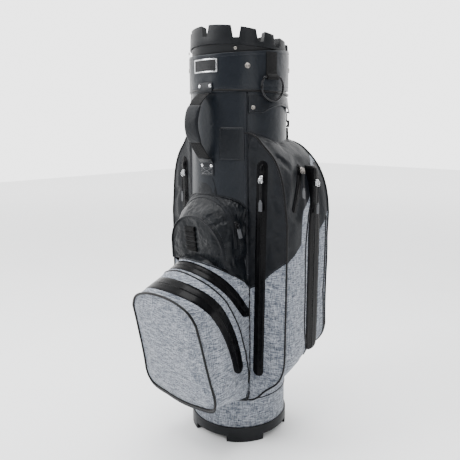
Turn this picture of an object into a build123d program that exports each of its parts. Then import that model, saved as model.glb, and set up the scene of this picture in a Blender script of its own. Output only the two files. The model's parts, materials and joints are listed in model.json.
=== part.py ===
from build123d import *
import os
from math import atan2, cos, degrees, radians, sin, sqrt

# Golf cart bag with a castellated organiser top, two side pockets, a cooler pocket, a valuables
# pocket, a grab handle, a towel ring and a shoulder strap. Millimetres. +Z is up, the front with
# the handle and the cooler pocket faces -Y, and the origin is on the floor on the bag's axis.
# An angle round the bag is measured from the front, and is positive towards +X.

os.makedirs("parts", exist_ok=True)

# ---- Driving dimensions ----
TOTAL_HEIGHT = 920.0
FIT = 0.3  # clearance between neighbouring pieces

BOOT_RADIUS = 115.5
BOOT_TOP = 36.0
FOOT_HEIGHT = 14.0
FOOT_SPAN = 44.0
FOOT_ANGLES = [49.0 + 90.0 * i for i in range(4)]
FLOOR_TOP = 18.0

TUBE_BOTTOM = FLOOR_TOP
TUBE_TOP = 812.0
TUBE_RADIUS_BOTTOM = 110.0
TUBE_RADIUS_TOP = 104.0
TUBE_WALL = 2.5
SKIN = 1.5

COLLAR_INNER = TUBE_RADIUS_TOP + 0.8
COLLAR_OUTER = 109.5
COLLAR_BOTTOM, COLLAR_BOTTOM_SLOPE = 790.0, 0.035
COLLAR_TOP, COLLAR_TOP_SLOPE = 872.0, 0.09
RIM_SLOPE = 0.2
RIM_TOP = TOTAL_HEIGHT - RIM_SLOPE * 106.0
RIM_INNER = 92.0
RIM_OUTER_LOW, RIM_OUTER_TOP = 108.5, 104.0
NOTCH_ANGLES = [0.0] + [s * a for a in (38.0, 66.0, 89.0, 112.0, 136.0, 160.0) for s in (1, -1)]
NOTCH_DEPTH = 22.0
NOTCH_BOTTOM_WIDTH, NOTCH_TOP_WIDTH = 12.0, 20.0

CORE_RADIUS = 40.0
GRID_WALL = 2.5
CURTAIN_WALL = 1.2
CURTAIN_REACH = 90.0
STAY_RADIUS, STAY_CIRCLE = 3.5, 96.5

SIDE_SEAM_ANGLE = 50.6


SIDE_FACE_X = 174.5  # outer face of each side pocket
OUTER_ZIP_Y, OUTER_ZIP_WIDTH = 52.0, 44.0

COOLER_LEAN, VALUABLES_LEAN = 0.227, 0.14  # both front faces lean outward with height
POCKET_BACK_Y = -62.0

HANDLE_WIDTH, HANDLE_THICKNESS = 34.0, 3.0
HANDLE_ANGLE = 2.0
TOWEL_ANGLE, TOWEL_WIDTH = 79.0, 28.0
RING_PIVOT_RADIUS, RING_PIVOT_Z = 114.8, 816.5
RING_RADIUS, RING_WIRE = 29.0, 2.2
STRAP_ANGLE, STRAP_PIVOT_RADIUS = 155.0, 117.5
STRAP_TOP, STRAP_BOTTOM = 735.0, 352.0


def tube_radius(z):
    """Outer radius of the tapered structural tube at height z."""
    share = (z - TUBE_BOTTOM) / (TUBE_TOP - TUBE_BOTTOM)
    return TUBE_RADIUS_BOTTOM + share * (TUBE_RADIUS_TOP - TUBE_RADIUS_BOTTOM)


def skin_radius(z):
    """Outer radius of the bag's leather skin at height z."""
    return tube_radius(z) + 0.2 + SKIN


def around(radius, angle, z=0.0):
    """The point at that radius and bag angle."""
    return Vector(radius * sin(radians(angle)), -radius * cos(radians(angle)), z)


def outward_plane(radius, angle, z):
    """A plane facing outward at a bag angle: local x is horizontal, local y is up."""
    across = Vector(cos(radians(angle)), sin(radians(angle)), 0)
    return Plane(origin=around(radius, angle, z), x_dir=across, z_dir=around(1, angle))


def slanted_plane(z, slope):
    """A plane through (0, 0, z) that rises towards the front by slope."""
    return Plane(origin=(0, 0, z), x_dir=(1, 0, 0), z_dir=(0, slope, 1))


def save(part, name):
    """Labels a finished piece and writes it as its own node."""
    part.label = name
    export_step(part, f"parts/{name}.step")


def ring_sector(inner, outer, start, end):
    """A flat ring sector between two radii and two bag angles, to add to a sketch."""
    with BuildSketch() as flat:
        with BuildLine():
            CenterArc((0, 0), outer, start - 90, end - start)
            CenterArc((0, 0), inner, start - 90, end - start)
            Line(around(inner, start), around(outer, start))
            Line(around(inner, end), around(outer, end))
        make_face()
    return flat.sketch


def sector(inner, outer, start, end, bottom, top):
    """A curved panel between two radii, two bag angles and two heights."""
    with BuildPart() as panel:
        with BuildSketch(Plane.XY.offset(bottom)):
            add(ring_sector(inner, outer, start, end))
        extrude(amount=top - bottom)
    return panel.part


def tapered_shell(offset, thickness, bottom, top):
    """A conical shell that lies offset outside the structural tube."""
    with BuildPart() as shell:
        with BuildSketch(Plane.XZ):
            low, high = tube_radius(bottom) + offset, tube_radius(top) + offset
            with BuildLine():
                Polyline(
                    (low, bottom), (low + thickness, bottom), (high + thickness, top), (high, top), close=True
                )
            make_face()
        revolve(axis=Axis.Z)
    return shell.part


# ---- Moulded base ----
with BuildPart() as base_boot:
    with BuildSketch(Plane.XY.offset(FOOT_HEIGHT)):
        Circle(BOOT_RADIUS)
    extrude(amount=BOOT_TOP - FOOT_HEIGHT)
    with BuildSketch(Plane.XY.offset(FLOOR_TOP)):
        Circle(TUBE_RADIUS_BOTTOM + SKIN + 0.7)
    extrude(amount=BOOT_TOP, mode=Mode.SUBTRACT)
    chamfer(base_boot.edges().group_by(Axis.Z)[-1].sort_by(SortBy.RADIUS)[-1], 1.2)
    with BuildSketch(Plane.XY):
        for angle in FOOT_ANGLES:
            add(ring_sector(72.0, BOOT_RADIUS, angle - FOOT_SPAN / 2, angle + FOOT_SPAN / 2))
    extrude(amount=FOOT_HEIGHT)
save(base_boot.part, "base_boot")

with BuildPart() as base_pad:
    with BuildSketch(Plane.XY.offset(FLOOR_TOP)):
        Circle(tube_radius(FLOOR_TOP) - TUBE_WALL - FIT)
    extrude(amount=5.0)
save(base_pad.part, "base_pad")
PAD_TOP = FLOOR_TOP + 5.0

# ---- Structural tube and its covers ----
save(tapered_shell(-TUBE_WALL, TUBE_WALL, TUBE_BOTTOM, TUBE_TOP), "body_tube")


def cover_panel(start, end, bottom, top):
    """A skin panel of the cover, between two bag angles and two heights."""
    with BuildPart() as cover:
        add(tapered_shell(0.2, SKIN, bottom, top))
        with BuildSketch(Plane.XY.offset(bottom - 1)):
            add(ring_sector(60.0, 160.0, start, end))
        extrude(amount=top - bottom + 2, mode=Mode.INTERSECT)
    return cover.part


COVER_TOP = 779.0
COVER_SPLIT = 104.0
seam = SIDE_SEAM_ANGLE
save(tapered_shell(0.2, SKIN, FLOOR_TOP + FIT, COVER_SPLIT), "lower_cover")
save(cover_panel(-seam + 0.3, seam - 0.3, COVER_SPLIT + 0.4, COVER_TOP), "front_panel")
save(cover_panel(seam + 0.3, 144.7, COVER_SPLIT + 0.4, COVER_TOP), "right_panel")
save(cover_panel(-144.7, -seam - 0.3, COVER_SPLIT + 0.4, COVER_TOP), "left_panel")
save(cover_panel(145.3, 214.7, COVER_SPLIT + 0.4, COVER_TOP), "rear_panel")

with BuildPart() as stay_rods:
    with BuildSketch(Plane.XY.offset(PAD_TOP)):
        for angle in (45.0, 135.0, 225.0, 315.0):
            with Locations(around(STAY_CIRCLE, angle)):
                Circle(STAY_RADIUS)
    extrude(amount=800.0 - PAD_TOP)
save(stay_rods.part, "stay_rods")

# ---- Collar and its piping ----
with BuildPart() as collar:
    with BuildSketch(Plane.XY.offset(740)):
        Circle(COLLAR_OUTER)
        Circle(COLLAR_INNER, mode=Mode.SUBTRACT)
    extrude(amount=200)
    split(bisect_by=slanted_plane(COLLAR_BOTTOM, COLLAR_BOTTOM_SLOPE), keep=Keep.TOP)
    split(bisect_by=slanted_plane(COLLAR_TOP, COLLAR_TOP_SLOPE), keep=Keep.BOTTOM)
save(collar.part, "collar")

with BuildPart() as collar_piping:
    with BuildSketch(Plane.XZ):
        with Locations((108.2, 0)):
            Circle(2.6)
    revolve(axis=Axis.Z)
piping = collar_piping.part.moved(Location(slanted_plane(COLLAR_BOTTOM - 3.0, COLLAR_BOTTOM_SLOPE)))
save(piping, "collar_piping")


# ---- Castellated top rim ----
def rim_height(plane_z, y):
    """Height of a slanted rim plane at depth y."""
    return plane_z - RIM_SLOPE * y


SKIRT_BOTTOM = 816.0
with BuildPart() as top_rim:
    with BuildSketch(Plane.XZ):
        with BuildLine():
            Polyline(
                (RIM_INNER, SKIRT_BOTTOM),
                (TUBE_RADIUS_TOP - 0.5, SKIRT_BOTTOM),
                (TUBE_RADIUS_TOP - 0.5, 940),
                (RIM_INNER, 940),
                close=True,
            )
        make_face()
    revolve(axis=Axis.Z)
    with BuildSketch(Plane.XZ):
        with BuildLine():
            Polyline(
                (TUBE_RADIUS_TOP - 3.0, 825),
                (RIM_OUTER_LOW, 825),
                (RIM_OUTER_LOW, 868),
                (RIM_OUTER_TOP, 940),
                (TUBE_RADIUS_TOP - 3.0, 940),
                close=True,
            )
        make_face()
    flange = revolve(axis=Axis.Z, mode=Mode.PRIVATE)
    flange_bottom = slanted_plane(COLLAR_TOP + 0.1, COLLAR_TOP_SLOPE)
    flange = split(flange, bisect_by=flange_bottom, keep=Keep.TOP, mode=Mode.PRIVATE)
    add(flange)
    split(bisect_by=slanted_plane(RIM_TOP, RIM_SLOPE), keep=Keep.BOTTOM)
    for angle in NOTCH_ANGLES:
        top = rim_height(RIM_TOP, around(RIM_OUTER_TOP, angle).Y)
        with BuildSketch(outward_plane(70.0, angle, top - NOTCH_DEPTH)):
            with BuildLine():
                Polyline(
                    (-NOTCH_BOTTOM_WIDTH / 2, 0),
                    (NOTCH_BOTTOM_WIDTH / 2, 0),
                    (NOTCH_TOP_WIDTH / 2, NOTCH_DEPTH),
                    (NOTCH_TOP_WIDTH / 2, 60),
                    (-NOTCH_TOP_WIDTH / 2, 60),
                    (-NOTCH_TOP_WIDTH / 2, NOTCH_DEPTH),
                    close=True,
                )
            make_face()
        extrude(amount=60, mode=Mode.SUBTRACT)
save(top_rim.part, "top_rim")

# ---- Organiser: thirteen outer cells round a putter well, each wall a flat plate ----
ordered = sorted(NOTCH_ANGLES)
WALL_ANGLES = [(a + b) / 2 for a, b in zip(ordered, ordered[1:])] + [180.0]


def organiser(bottom, top_plane, reach, wall):
    """Radial walls and the core's flat walls, from bottom up to a slanted plane."""
    walls = []
    half = wall / 2
    for angle in WALL_ANGLES:
        with BuildPart() as radial:
            with BuildSketch(Plane.XY.offset(bottom)):
                with Locations(Location(around((CORE_RADIUS + reach) / 2 + half, angle), angle)):
                    Rectangle(wall, reach - CORE_RADIUS - wall)
            extrude(amount=940 - bottom)
            split(bisect_by=top_plane, keep=Keep.BOTTOM)
        walls.append(radial.part)
    for start, end in zip(WALL_ANGLES, WALL_ANGLES[1:] + [WALL_ANGLES[0] + 360.0]):
        middle, spread = (start + end) / 2, (end - start) / 2
        apothem = CORE_RADIUS * cos(radians(spread))
        half_length = CORE_RADIUS * sin(radians(spread)) - 0.05
        lean = half * 2 * sin(radians(spread)) / cos(radians(spread))
        with BuildPart() as side:
            with BuildSketch(Plane.XY.offset(bottom)):
                with Locations(Location(around(apothem, middle), middle)):
                    Trapezoid(2 * half_length, wall, 90 - spread, align=(Align.CENTER, Align.MAX))
            extrude(amount=940 - bottom)
            split(bisect_by=top_plane, keep=Keep.BOTTOM)
        walls.append(side.part)
    return Compound(children=walls)


GRID_BOTTOM = 822.0
grid_top = slanted_plane(RIM_TOP - 3.0, RIM_SLOPE)
save(organiser(GRID_BOTTOM, grid_top, RIM_INNER - 0.1, GRID_WALL), "divider_grid")
curtain_top = Plane.XY.offset(GRID_BOTTOM - 0.5)
save(organiser(PAD_TOP + FIT, curtain_top, CURTAIN_REACH, CURTAIN_WALL), "divider_curtains")


# ---- Pockets: one closed padded form each, cut to the tube ----
def tube_core(gap):
    """Everything inside the bag's skin, grown by gap, to cut out of a pocket."""
    with BuildPart() as core:
        with BuildSketch(Plane.XZ):
            with BuildLine():
                low, high = skin_radius(60) + gap, skin_radius(740) + gap
                Polyline((0, 60), (low, 60), (high, 740), (0, 740), close=True)
            make_face()
        revolve(axis=Axis.Z)
    return core.part


def mirrored_points(points):
    """The same points with X negated, in reverse order."""
    return [(-x, z) for x, z in reversed(points)]


FRONT_TOP = [(60, 702), (100, 698), (118, 680), (140, 656), (155, 628), (168, 568.5), (SIDE_FACE_X, 513)]
FRONT_LOW = [(SIDE_FACE_X, 232), (172, 197), (158.5, 163), (125, 130.5), (100, 107), (60, 104)]
BACK_TOP = [(60, 690), (100, 676), (125, 656), (145, 632), (160, 603), (170, 566), (SIDE_FACE_X, 525)]
BACK_LOW = [(SIDE_FACE_X, 262), (170, 240), (152, 213), (122, 190), (95, 172), (60, 165)]
gusset_run = Vector(90, 18, 0).normalized()
front_gusset = Plane(origin=(82, -67, 0), x_dir=gusset_run, z_dir=(0.2, -1, 0))
back_run = Vector(102, 17, 0).normalized()
back_gusset = Plane(origin=(70, 90, 0), x_dir=back_run, z_dir=(1 / 6, -1, 0))


def gusset_points(points, origin_x, run):
    """World X and Z profile points turned into a gusset plane's own coordinates."""
    return [((x - origin_x) / run.X, z) for x, z in points]


def side_profile(upper, lower, origin_x, run):
    """The closed elevation outline of a side pocket on one of its gusset planes."""
    top = gusset_points(upper, origin_x, run)
    low = gusset_points(lower, origin_x, run)
    with BuildSketch() as profile:
        with BuildLine():
            Spline(*top)
            Line(top[-1], low[0])
            Spline(*low)
            Line(low[-1], top[0])
        make_face()
    return profile.sketch


with BuildPart() as side_pocket:
    with BuildSketch(front_gusset):
        add(side_profile(FRONT_TOP, FRONT_LOW, 82, gusset_run))
    with BuildSketch(back_gusset):
        add(side_profile(BACK_TOP, BACK_LOW, 70, back_run))
    loft(ruled=True)
    add(tube_core(0.15), mode=Mode.SUBTRACT)
save(side_pocket.part, "right_side_pocket")
save(mirror(side_pocket.part, about=Plane.YZ), "left_side_pocket")

COOLER_TOP = [(-98, 334), (-85, 355), (-63, 368), (0, 378), (63, 368), (85, 355), (98, 334)]
COOLER_SIDE = [(98, 334), (101, 299), (105, 220), (110, 170)]
COOLER_LOW = [(110, 170), (104, 142), (60, 126), (0, 120), (-60, 126), (-104, 142), (-110, 170)]
COOLER_BACK_TOP = [(-86, 375), (-81, 412), (-65, 447), (0, 490), (65, 447), (81, 412), (86, 375)]
COOLER_BACK_SIDE = [(86, 375), (86, 300), (86, 220), (86, 130)]
COOLER_BACK_LOW = [(86, 130), (80, 106), (50, 101), (0, 101), (-50, 101), (-80, 106), (-86, 130)]
cooler_face = Plane(origin=(0, -201, 173), x_dir=(1, 0, 0), z_dir=(0, -1, -COOLER_LEAN))
pocket_back = Plane(origin=(0, POCKET_BACK_Y, 0), x_dir=(1, 0, 0), z_dir=(0, -1, 0))


def cooler_outline(top, side, low, grow, base, stretch):
    """A cooler outline grown outward, in the coordinates of its plane."""

    def place(points):
        placed = []
        for x, z in points:
            out = Vector(x, z - 290).normalized() * grow
            placed.append((x + out.X, (z + out.Y - base) * stretch))
        return placed

    with BuildSketch() as outline:
        with BuildLine():
            Spline(*place(top))
            Spline(*place(side))
            Spline(*place(low))
            Spline(*place(mirrored_points(side)))
        make_face()
    return outline.sketch


def cooler_form(grow):
    """The cooler pocket's whole form, grown outward, before it is cut to the tube."""
    stretch = sqrt(1 + COOLER_LEAN**2)
    with BuildPart() as form:
        with BuildSketch(cooler_face):
            add(cooler_outline(COOLER_TOP, COOLER_SIDE, COOLER_LOW, grow, 173, stretch))
        with BuildSketch(pocket_back):
            add(cooler_outline(COOLER_BACK_TOP, COOLER_BACK_SIDE, COOLER_BACK_LOW, grow, 0, 1))
        loft(ruled=True)
    return form.part


cooler_solid = cooler_form(0)
with BuildPart() as cooler_pocket:
    add(cooler_solid)
    add(tube_core(0.15), mode=Mode.SUBTRACT)
save(cooler_pocket.part, "cooler_pocket")

with BuildPart() as cooler_trim:
    stretch = sqrt(1 + COOLER_LEAN**2)
    with BuildSketch(cooler_face.offset(0.1)):
        add(cooler_outline(COOLER_TOP, COOLER_SIDE, COOLER_LOW, 2.0, 173, stretch))
        add(cooler_outline(COOLER_TOP, COOLER_SIDE, COOLER_LOW, -2.5, 173, stretch), mode=Mode.SUBTRACT)
    extrude(amount=3.5)
save(cooler_trim.part, "cooler_trim")

VALUABLES_ARC = 78.0
VALUABLES_FRONT = (449.8, 79.2)  # height of the arc's centre, and its radius
VALUABLES_BACK = (535.0, 86.0)
valuables_face = Plane(origin=(0, -141.4, 477), x_dir=(1, 0, 0), z_dir=(0, -1, -VALUABLES_LEAN))


def valuables_outline(centre, radius, foot_x, foot_z, base, stretch):
    """An arched outline: straight legs that spread down to a flat foot."""
    with BuildSketch() as outline:
        with BuildLine():
            middle = (centre - base) * stretch
            foot = (foot_z - base) * stretch
            arch = CenterArc((0, middle), radius, 90 - VALUABLES_ARC, 2 * VALUABLES_ARC)
            Line(arch @ 0, (foot_x, foot))
            Line((foot_x, foot), (-foot_x, foot))
            Line((-foot_x, foot), arch @ 1)
        make_face()
    return outline.sketch


def valuables_form(grow):
    """The valuables pocket's whole form, grown outward, before it is cut to its neighbours."""
    front_z, front_radius = VALUABLES_FRONT
    back_z, back_radius = VALUABLES_BACK
    stretch = sqrt(1 + VALUABLES_LEAN**2)
    with BuildPart() as form:
        with BuildSketch(valuables_face):
            add(valuables_outline(front_z, front_radius + grow, 80 + grow, 425, 477, stretch))
        with BuildSketch(pocket_back):
            add(valuables_outline(back_z, back_radius + grow, 84 + grow, 360, 0, 1))
        loft(ruled=True)
    return form.part


with BuildPart() as valuables_pocket:
    add(valuables_form(0))
    add(cooler_form(0.4), mode=Mode.SUBTRACT)
    add(tube_core(0.15), mode=Mode.SUBTRACT)
save(valuables_pocket.part, "valuables_pocket")


# ---- Stitched and riveted pieces on the skin and the collar ----
def curved_patch(radius, thickness, angle, z, width, height, corner):
    """A rounded rectangle wrapped on a cylinder and centred on a bag angle."""
    with BuildPart() as patch:
        add(sector(radius, radius + thickness, angle - 60, angle + 60, z - height, z + height))
        with BuildSketch(outward_plane(radius - 40, angle, z)):
            RectangleRounded(width, height, corner)
        extrude(amount=60, mode=Mode.INTERSECT)
    return patch.part


def studs(places, radius, height):
    """Domed round heads, one at each (surface radius, angle, z)."""
    heads = []
    for surface, angle, z in places:
        with BuildPart() as head:
            with BuildSketch(outward_plane(surface, angle, z)):
                Circle(radius)
            extrude(amount=height)
            chamfer(head.edges().group_by(Axis((0, 0, 0), around(1, angle)))[-1], height * 0.35)
        heads.append(head.part)
    return Compound(children=heads)


save(studs([(COLLAR_OUTER + 0.1, a, 871.6) for a in (-37.7, 37.7)], 3.2, 1.6), "rim_screws")
SNAP_ANGLES = (-129.4, -50.6, 50.6, 129.4)
save(studs([(COLLAR_OUTER + 0.1, a, 838.0) for a in SNAP_ANGLES], 5.5, 2.4), "hood_snaps")

with BuildPart() as name_plate:
    add(curved_patch(COLLAR_OUTER + 0.1, 2.6, 1.5, 839.5, 64.0, 27.0, 2.0))
    with BuildSketch(outward_plane(90, 1.5, 839.5)):
        RectangleRounded(59.0, 22.0, 1.0)
    extrude(amount=60, mode=Mode.SUBTRACT)
save(name_plate.part, "name_plate")
save(curved_patch(COLLAR_OUTER + 0.1, 1.6, 1.5, 839.5, 58.6, 21.6, 0.9), "plate_inlay")
save(curved_patch(skin_radius(647) + 0.1, 1.8, 33.5, 681.0, 54.0, 68.0, 4.0), "magnet_patch")


def side_flap(side):
    """A leather flap below the collar: its lower edge is an arch and it stands off the skin."""
    with BuildPart() as flap:
        with BuildSketch(Plane.XZ):
            with BuildLine():
                Polyline((106.4, 779), (108.2, 779), (113.0, 745), (111.2, 745), close=True)
            make_face()
        revolve(axis=Axis.Z)
        with BuildSketch(Plane.XY.offset(700)):
            add(ring_sector(60.0, 140.0, SIDE_SEAM_ANGLE + 1.0, 128.0))
        extrude(amount=100, mode=Mode.INTERSECT)
        with BuildSketch(Plane.YZ):
            with Locations((12, 660)):
                Circle(101)
        extrude(amount=200, mode=Mode.SUBTRACT)
    return flap.part if side > 0 else mirror(flap.part, about=Plane.YZ)


save(Compound(children=[side_flap(1), side_flap(-1)]), "side_flaps")
flap_studs = [(112.7, s * 56.5, 755.0) for s in (1, -1)]
save(studs(flap_studs, 4.5, 2.2), "flap_snaps")

# ---- Grab handle: a webbing loop with a padded sleeve, which swings about its two ends ----
LOOP_PATH = [(114.6, 784.0), (122.0, 779.0), (135.5, 768.0), (149.5, 745.0), (153.5, 715.0), (143.0, 685.0),
             (128.0, 664.0), (117.0, 651.0)]


def upright_plane(angle):
    """The vertical plane through the bag's axis at a bag angle: local x is outward, local y is up."""
    return Plane(origin=(0, 0, 0), x_dir=around(1, angle), z_dir=around(1, angle - 90))


def strip(angle, path, thickness, width, low=0, high=TOTAL_HEIGHT):
    """An even strip along a smooth (radius, z) path at a bag angle, cut between two heights."""
    with BuildPart() as band:
        with BuildSketch(upright_plane(angle)):
            with BuildLine() as centre_line:
                Spline(*path)
            trace(centre_line.line, line_width=thickness)
        extrude(amount=width / 2, both=True)
        split(bisect_by=Plane.XY.offset(low), keep=Keep.TOP)
        split(bisect_by=Plane.XY.offset(high), keep=Keep.BOTTOM)
    return band.part


def revolved_sector(profile, start, end):
    """A closed (radius, z) profile turned between two bag angles."""
    with BuildPart() as turned:
        with BuildSketch(Plane.XZ):
            with BuildLine():
                Polyline(*profile, close=True)
            make_face()
        revolve(axis=Axis.Z)
        with BuildSketch(Plane.XY):
            add(ring_sector(60.0, 160.0, start, end))
        extrude(amount=TOTAL_HEIGHT, mode=Mode.INTERSECT)
    return turned.part


save(strip(HANDLE_ANGLE, LOOP_PATH, HANDLE_THICKNESS, HANDLE_WIDTH, 651, 784), "handle_webbing")
with BuildPart() as handle_sleeve:
    add(strip(HANDLE_ANGLE, LOOP_PATH, 11.0, HANDLE_WIDTH + 5.0, 684, 760))
    add(strip(HANDLE_ANGLE, LOOP_PATH, HANDLE_THICKNESS + 0.3, HANDLE_WIDTH + 0.4), mode=Mode.SUBTRACT)
save(handle_sleeve.part, "handle_sleeve")

TAB_START, TAB_END = -7.6, 11.8
skin_low = skin_radius(614) + 0.1
upper_tab = [(109.6, 794.2), (109.6, 806), (112.6, 806), (114.0, 785), (111.2, 785), (111.2, 794.2)]
lower_tab = [(skin_low, 614), (skin_low + 2, 614), (skin_low + 2, 640), (118.5, 649.3), (114.5, 649.3),
             (skin_low, 641)]
tabs = [revolved_sector(profile, TAB_START, TAB_END) for profile in (upper_tab, lower_tab)]
save(Compound(children=tabs), "handle_tabs")
upper_rivets = [(113.4, a, 799.0) for a in (-5.2, 9.6)]
lower_rivets = [(skin_low + 2.2, a, 635.0) for a in (-4.6, 9.0)]
save(studs(upper_rivets + lower_rivets, 3.6, 2.0), "handle_rivets")

# ---- Towel strap and its hanging ring ----
towel_plane = outward_plane(RING_PIVOT_RADIUS, TOWEL_ANGLE, RING_PIVOT_Z)
towel_across = Vector(cos(radians(TOWEL_ANGLE)), sin(radians(TOWEL_ANGLE)), 0)


def cross_cylinder(radius, length):
    """A cylinder along the ring's pivot line."""
    with BuildPart() as bar:
        with BuildSketch(Plane(origin=towel_plane.origin, z_dir=towel_across)):
            Circle(radius)
        extrude(amount=length / 2, both=True)
    return bar.part


with BuildPart() as towel_strap:
    add(curved_patch(COLLAR_OUTER + 0.1, 2.0, TOWEL_ANGLE, 843.0, TOWEL_WIDTH, 48.0, 1.0))
    add(cross_cylinder(5.0, TOWEL_WIDTH))
    add(cross_cylinder(3.2, TOWEL_WIDTH + 10), mode=Mode.SUBTRACT)
save(towel_strap.part, "towel_strap")

ring_drop = 19.0
ring_span = degrees(atan2(sqrt(RING_RADIUS**2 - ring_drop**2), ring_drop))
with BuildPart() as towel_ring:
    with BuildLine(towel_plane) as ring_path:
        arc = CenterArc((0, -ring_drop), RING_RADIUS, 90 - ring_span, -(360 - 2 * ring_span))
        Line(arc @ 1, arc @ 0)
        fillet(ring_path.vertices(), 5.0)
    with BuildSketch(Plane(origin=ring_path.line @ 0, z_dir=ring_path.line % 0)):
        Circle(RING_WIRE)
    sweep(path=ring_path.line)
save(towel_ring.part, "towel_ring")

# ---- Shoulder strap down the back, which swings on a swivel at each end ----
STRAP_PATH = [
    (117.5, 714),
    (119.0, 690),
    (122.0, 650),
    (128.0, 600),
    (131.5, 545),
    (130.0, 490),
    (124.0, 430),
    (119.0, 392),
    (117.5, 373),
]
SWIVEL_PIN, SWIVEL_BARREL = 3.0, 5.5


def pivot_disc(radius, low, high):
    """An upright cylinder on the strap's pivot line."""
    with BuildPart() as disc:
        with BuildSketch(Plane.XY.offset(low)):
            with Locations(around(STRAP_PIVOT_RADIUS, STRAP_ANGLE)):
                Circle(radius)
        extrude(amount=high - low)
    return disc.part


def strap_bracket(tab_z, arm_low, pin_low, pin_high):
    """A metal arm from its leather tab out over the pivot line, with a swivel pin."""
    with BuildPart() as bracket:
        inner = skin_radius(tab_z) + 2.3
        with BuildSketch(Plane.XY.offset(arm_low)):
            with Locations(Location(around((inner + 124) / 2, STRAP_ANGLE), STRAP_ANGLE)):
                RectangleRounded(16, 124 - inner, 2.0)
        extrude(amount=4)
        add(pivot_disc(SWIVEL_PIN, pin_low, pin_high))
    return bracket.part


def strap_hook(barrel_low, barrel_high, bore_low, bore_high, frame_z):
    """A swivel barrel with a flat frame that holds the webbing."""
    with BuildPart() as hook:
        with BuildSketch(outward_plane(STRAP_PIVOT_RADIUS - 2, STRAP_ANGLE, frame_z)):
            RectangleRounded(36, 16, 3)
            RectangleRounded(28, 7, 1.5, mode=Mode.SUBTRACT)
        extrude(amount=4)
        add(pivot_disc(SWIVEL_BARREL, barrel_low, barrel_high))
        add(pivot_disc(SWIVEL_PIN + 0.1, bore_low, bore_high), mode=Mode.SUBTRACT)
    return hook.part


tab_heights = (STRAP_TOP + 18, STRAP_BOTTOM - 18)
strap_tabs = [curved_patch(skin_radius(z) + 0.6, 1.6, STRAP_ANGLE, z, 34.0, 44.0, 3.0) for z in tab_heights]
save(Compound(children=strap_tabs), "strap_tabs")
upper_bracket = strap_bracket(tab_heights[0], STRAP_TOP + 12, STRAP_TOP + 2, STRAP_TOP + 13)
lower_bracket = strap_bracket(tab_heights[1], STRAP_BOTTOM - 16, STRAP_BOTTOM - 13, STRAP_BOTTOM - 2)
save(Compound(children=[upper_bracket, lower_bracket]), "strap_brackets")
upper_hook = strap_hook(STRAP_TOP - 5, STRAP_TOP + 11.5, STRAP_TOP + 1.5, STRAP_TOP + 12, STRAP_TOP - 12)
lower_hook = strap_hook(
    STRAP_BOTTOM - 11.5,
    STRAP_BOTTOM + 5,
    STRAP_BOTTOM - 12,
    STRAP_BOTTOM - 1.5,
    STRAP_BOTTOM + 12,
)
save(Compound(children=[upper_hook, lower_hook]), "strap_hooks")
save(strip(STRAP_ANGLE, STRAP_PATH, 2.4, 30.0, 372.6, 714.4), "strap_webbing")
with BuildPart() as strap_pad:
    add(strip(STRAP_ANGLE, STRAP_PATH, 10.0, 46.0, 430, 650))
    add(strip(STRAP_ANGLE, STRAP_PATH, 2.8, 30.4), mode=Mode.SUBTRACT)
save(strap_pad.part, "strap_pad")

# ---- Ladder webbing on the valuables pocket ----
with BuildPart() as ladder_webbing:
    with BuildSketch(Plane.YZ.offset(-11.5 - 15)):
        with Locations(Location((-141.4, 477), degrees(atan2(VALUABLES_LEAN, 1)))):
            with Locations((-0.95, 3)):
                Rectangle(1.5, 58)
            with Locations([(-1.6, 3 + 11 * i) for i in (-2, -1, 0, 1, 2)]):
                Ellipse(1.9, 4.4)
    extrude(amount=30)
    add(valuables_pocket.part, mode=Mode.SUBTRACT)
save(ladder_webbing.part, "ladder_webbing")

# ---- Zips: a tape on each pocket, a slider that runs on it and a puller that hangs from the slider ----
TAPE_RISE = 1.4
SLIDER_GAP = 0.4
SLIDER_WIDTH, SLIDER_LENGTH, SLIDER_DEPTH = 9.0, 14.0, 4.0
LUG_TOP, PIVOT_HEIGHT = 9.6, 6.6
TAB_LENGTH = 20.0
LONG_PULLER, SHORT_PULLER = 68.0, 30.0


def zip_frame(origin, up, normal):
    """The plane of a slider: on top of the tape, local y along the zip, local z out of the pocket."""
    up = Vector(*up).normalized()
    normal = Vector(*normal).normalized()
    return Plane(origin=origin, x_dir=up.cross(normal), z_dir=normal)


def slider_at(frame):
    """A slider with a lug whose window takes the puller's bar."""
    with BuildPart() as slider:
        with BuildSketch(frame.offset(SLIDER_GAP)):
            RectangleRounded(SLIDER_WIDTH, SLIDER_LENGTH, 2.5)
        extrude(amount=SLIDER_DEPTH)
        base = SLIDER_GAP + SLIDER_DEPTH
        lug_plane = Plane(origin=frame.origin, x_dir=frame.y_dir, z_dir=frame.x_dir)
        with BuildSketch(lug_plane):
            with Locations((0, (base + LUG_TOP) / 2)):
                RectangleRounded(10.0, LUG_TOP - base + 0.4, 1.0)
            with Locations((0, PIVOT_HEIGHT)):
                Rectangle(5.0, 3.6, mode=Mode.SUBTRACT)
        extrude(amount=1.2, both=True)
    return slider.part


def puller_at(frame, length):
    """A puller: a bar through the lug, two arms, a narrow cord and a tab that hangs along the zip."""
    with BuildPart() as puller:
        with BuildSketch(frame.offset(PIVOT_HEIGHT - 0.7)):
            with Locations((0, -4.5)):
                RectangleRounded(9.0, 11.0, 1.5)
            with Locations((0, -4.5)):
                Rectangle(5.6, 7.4, mode=Mode.SUBTRACT)
            with Locations((0, (TAB_LENGTH / 2 - 9.0 - length) / 2)):
                Rectangle(3.0, length - 9.0 - TAB_LENGTH / 2)
            with Locations((0, TAB_LENGTH / 2 - length)):
                RectangleRounded(9.0, TAB_LENGTH, 2.0)
        extrude(amount=1.4)
    return puller.part


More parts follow.
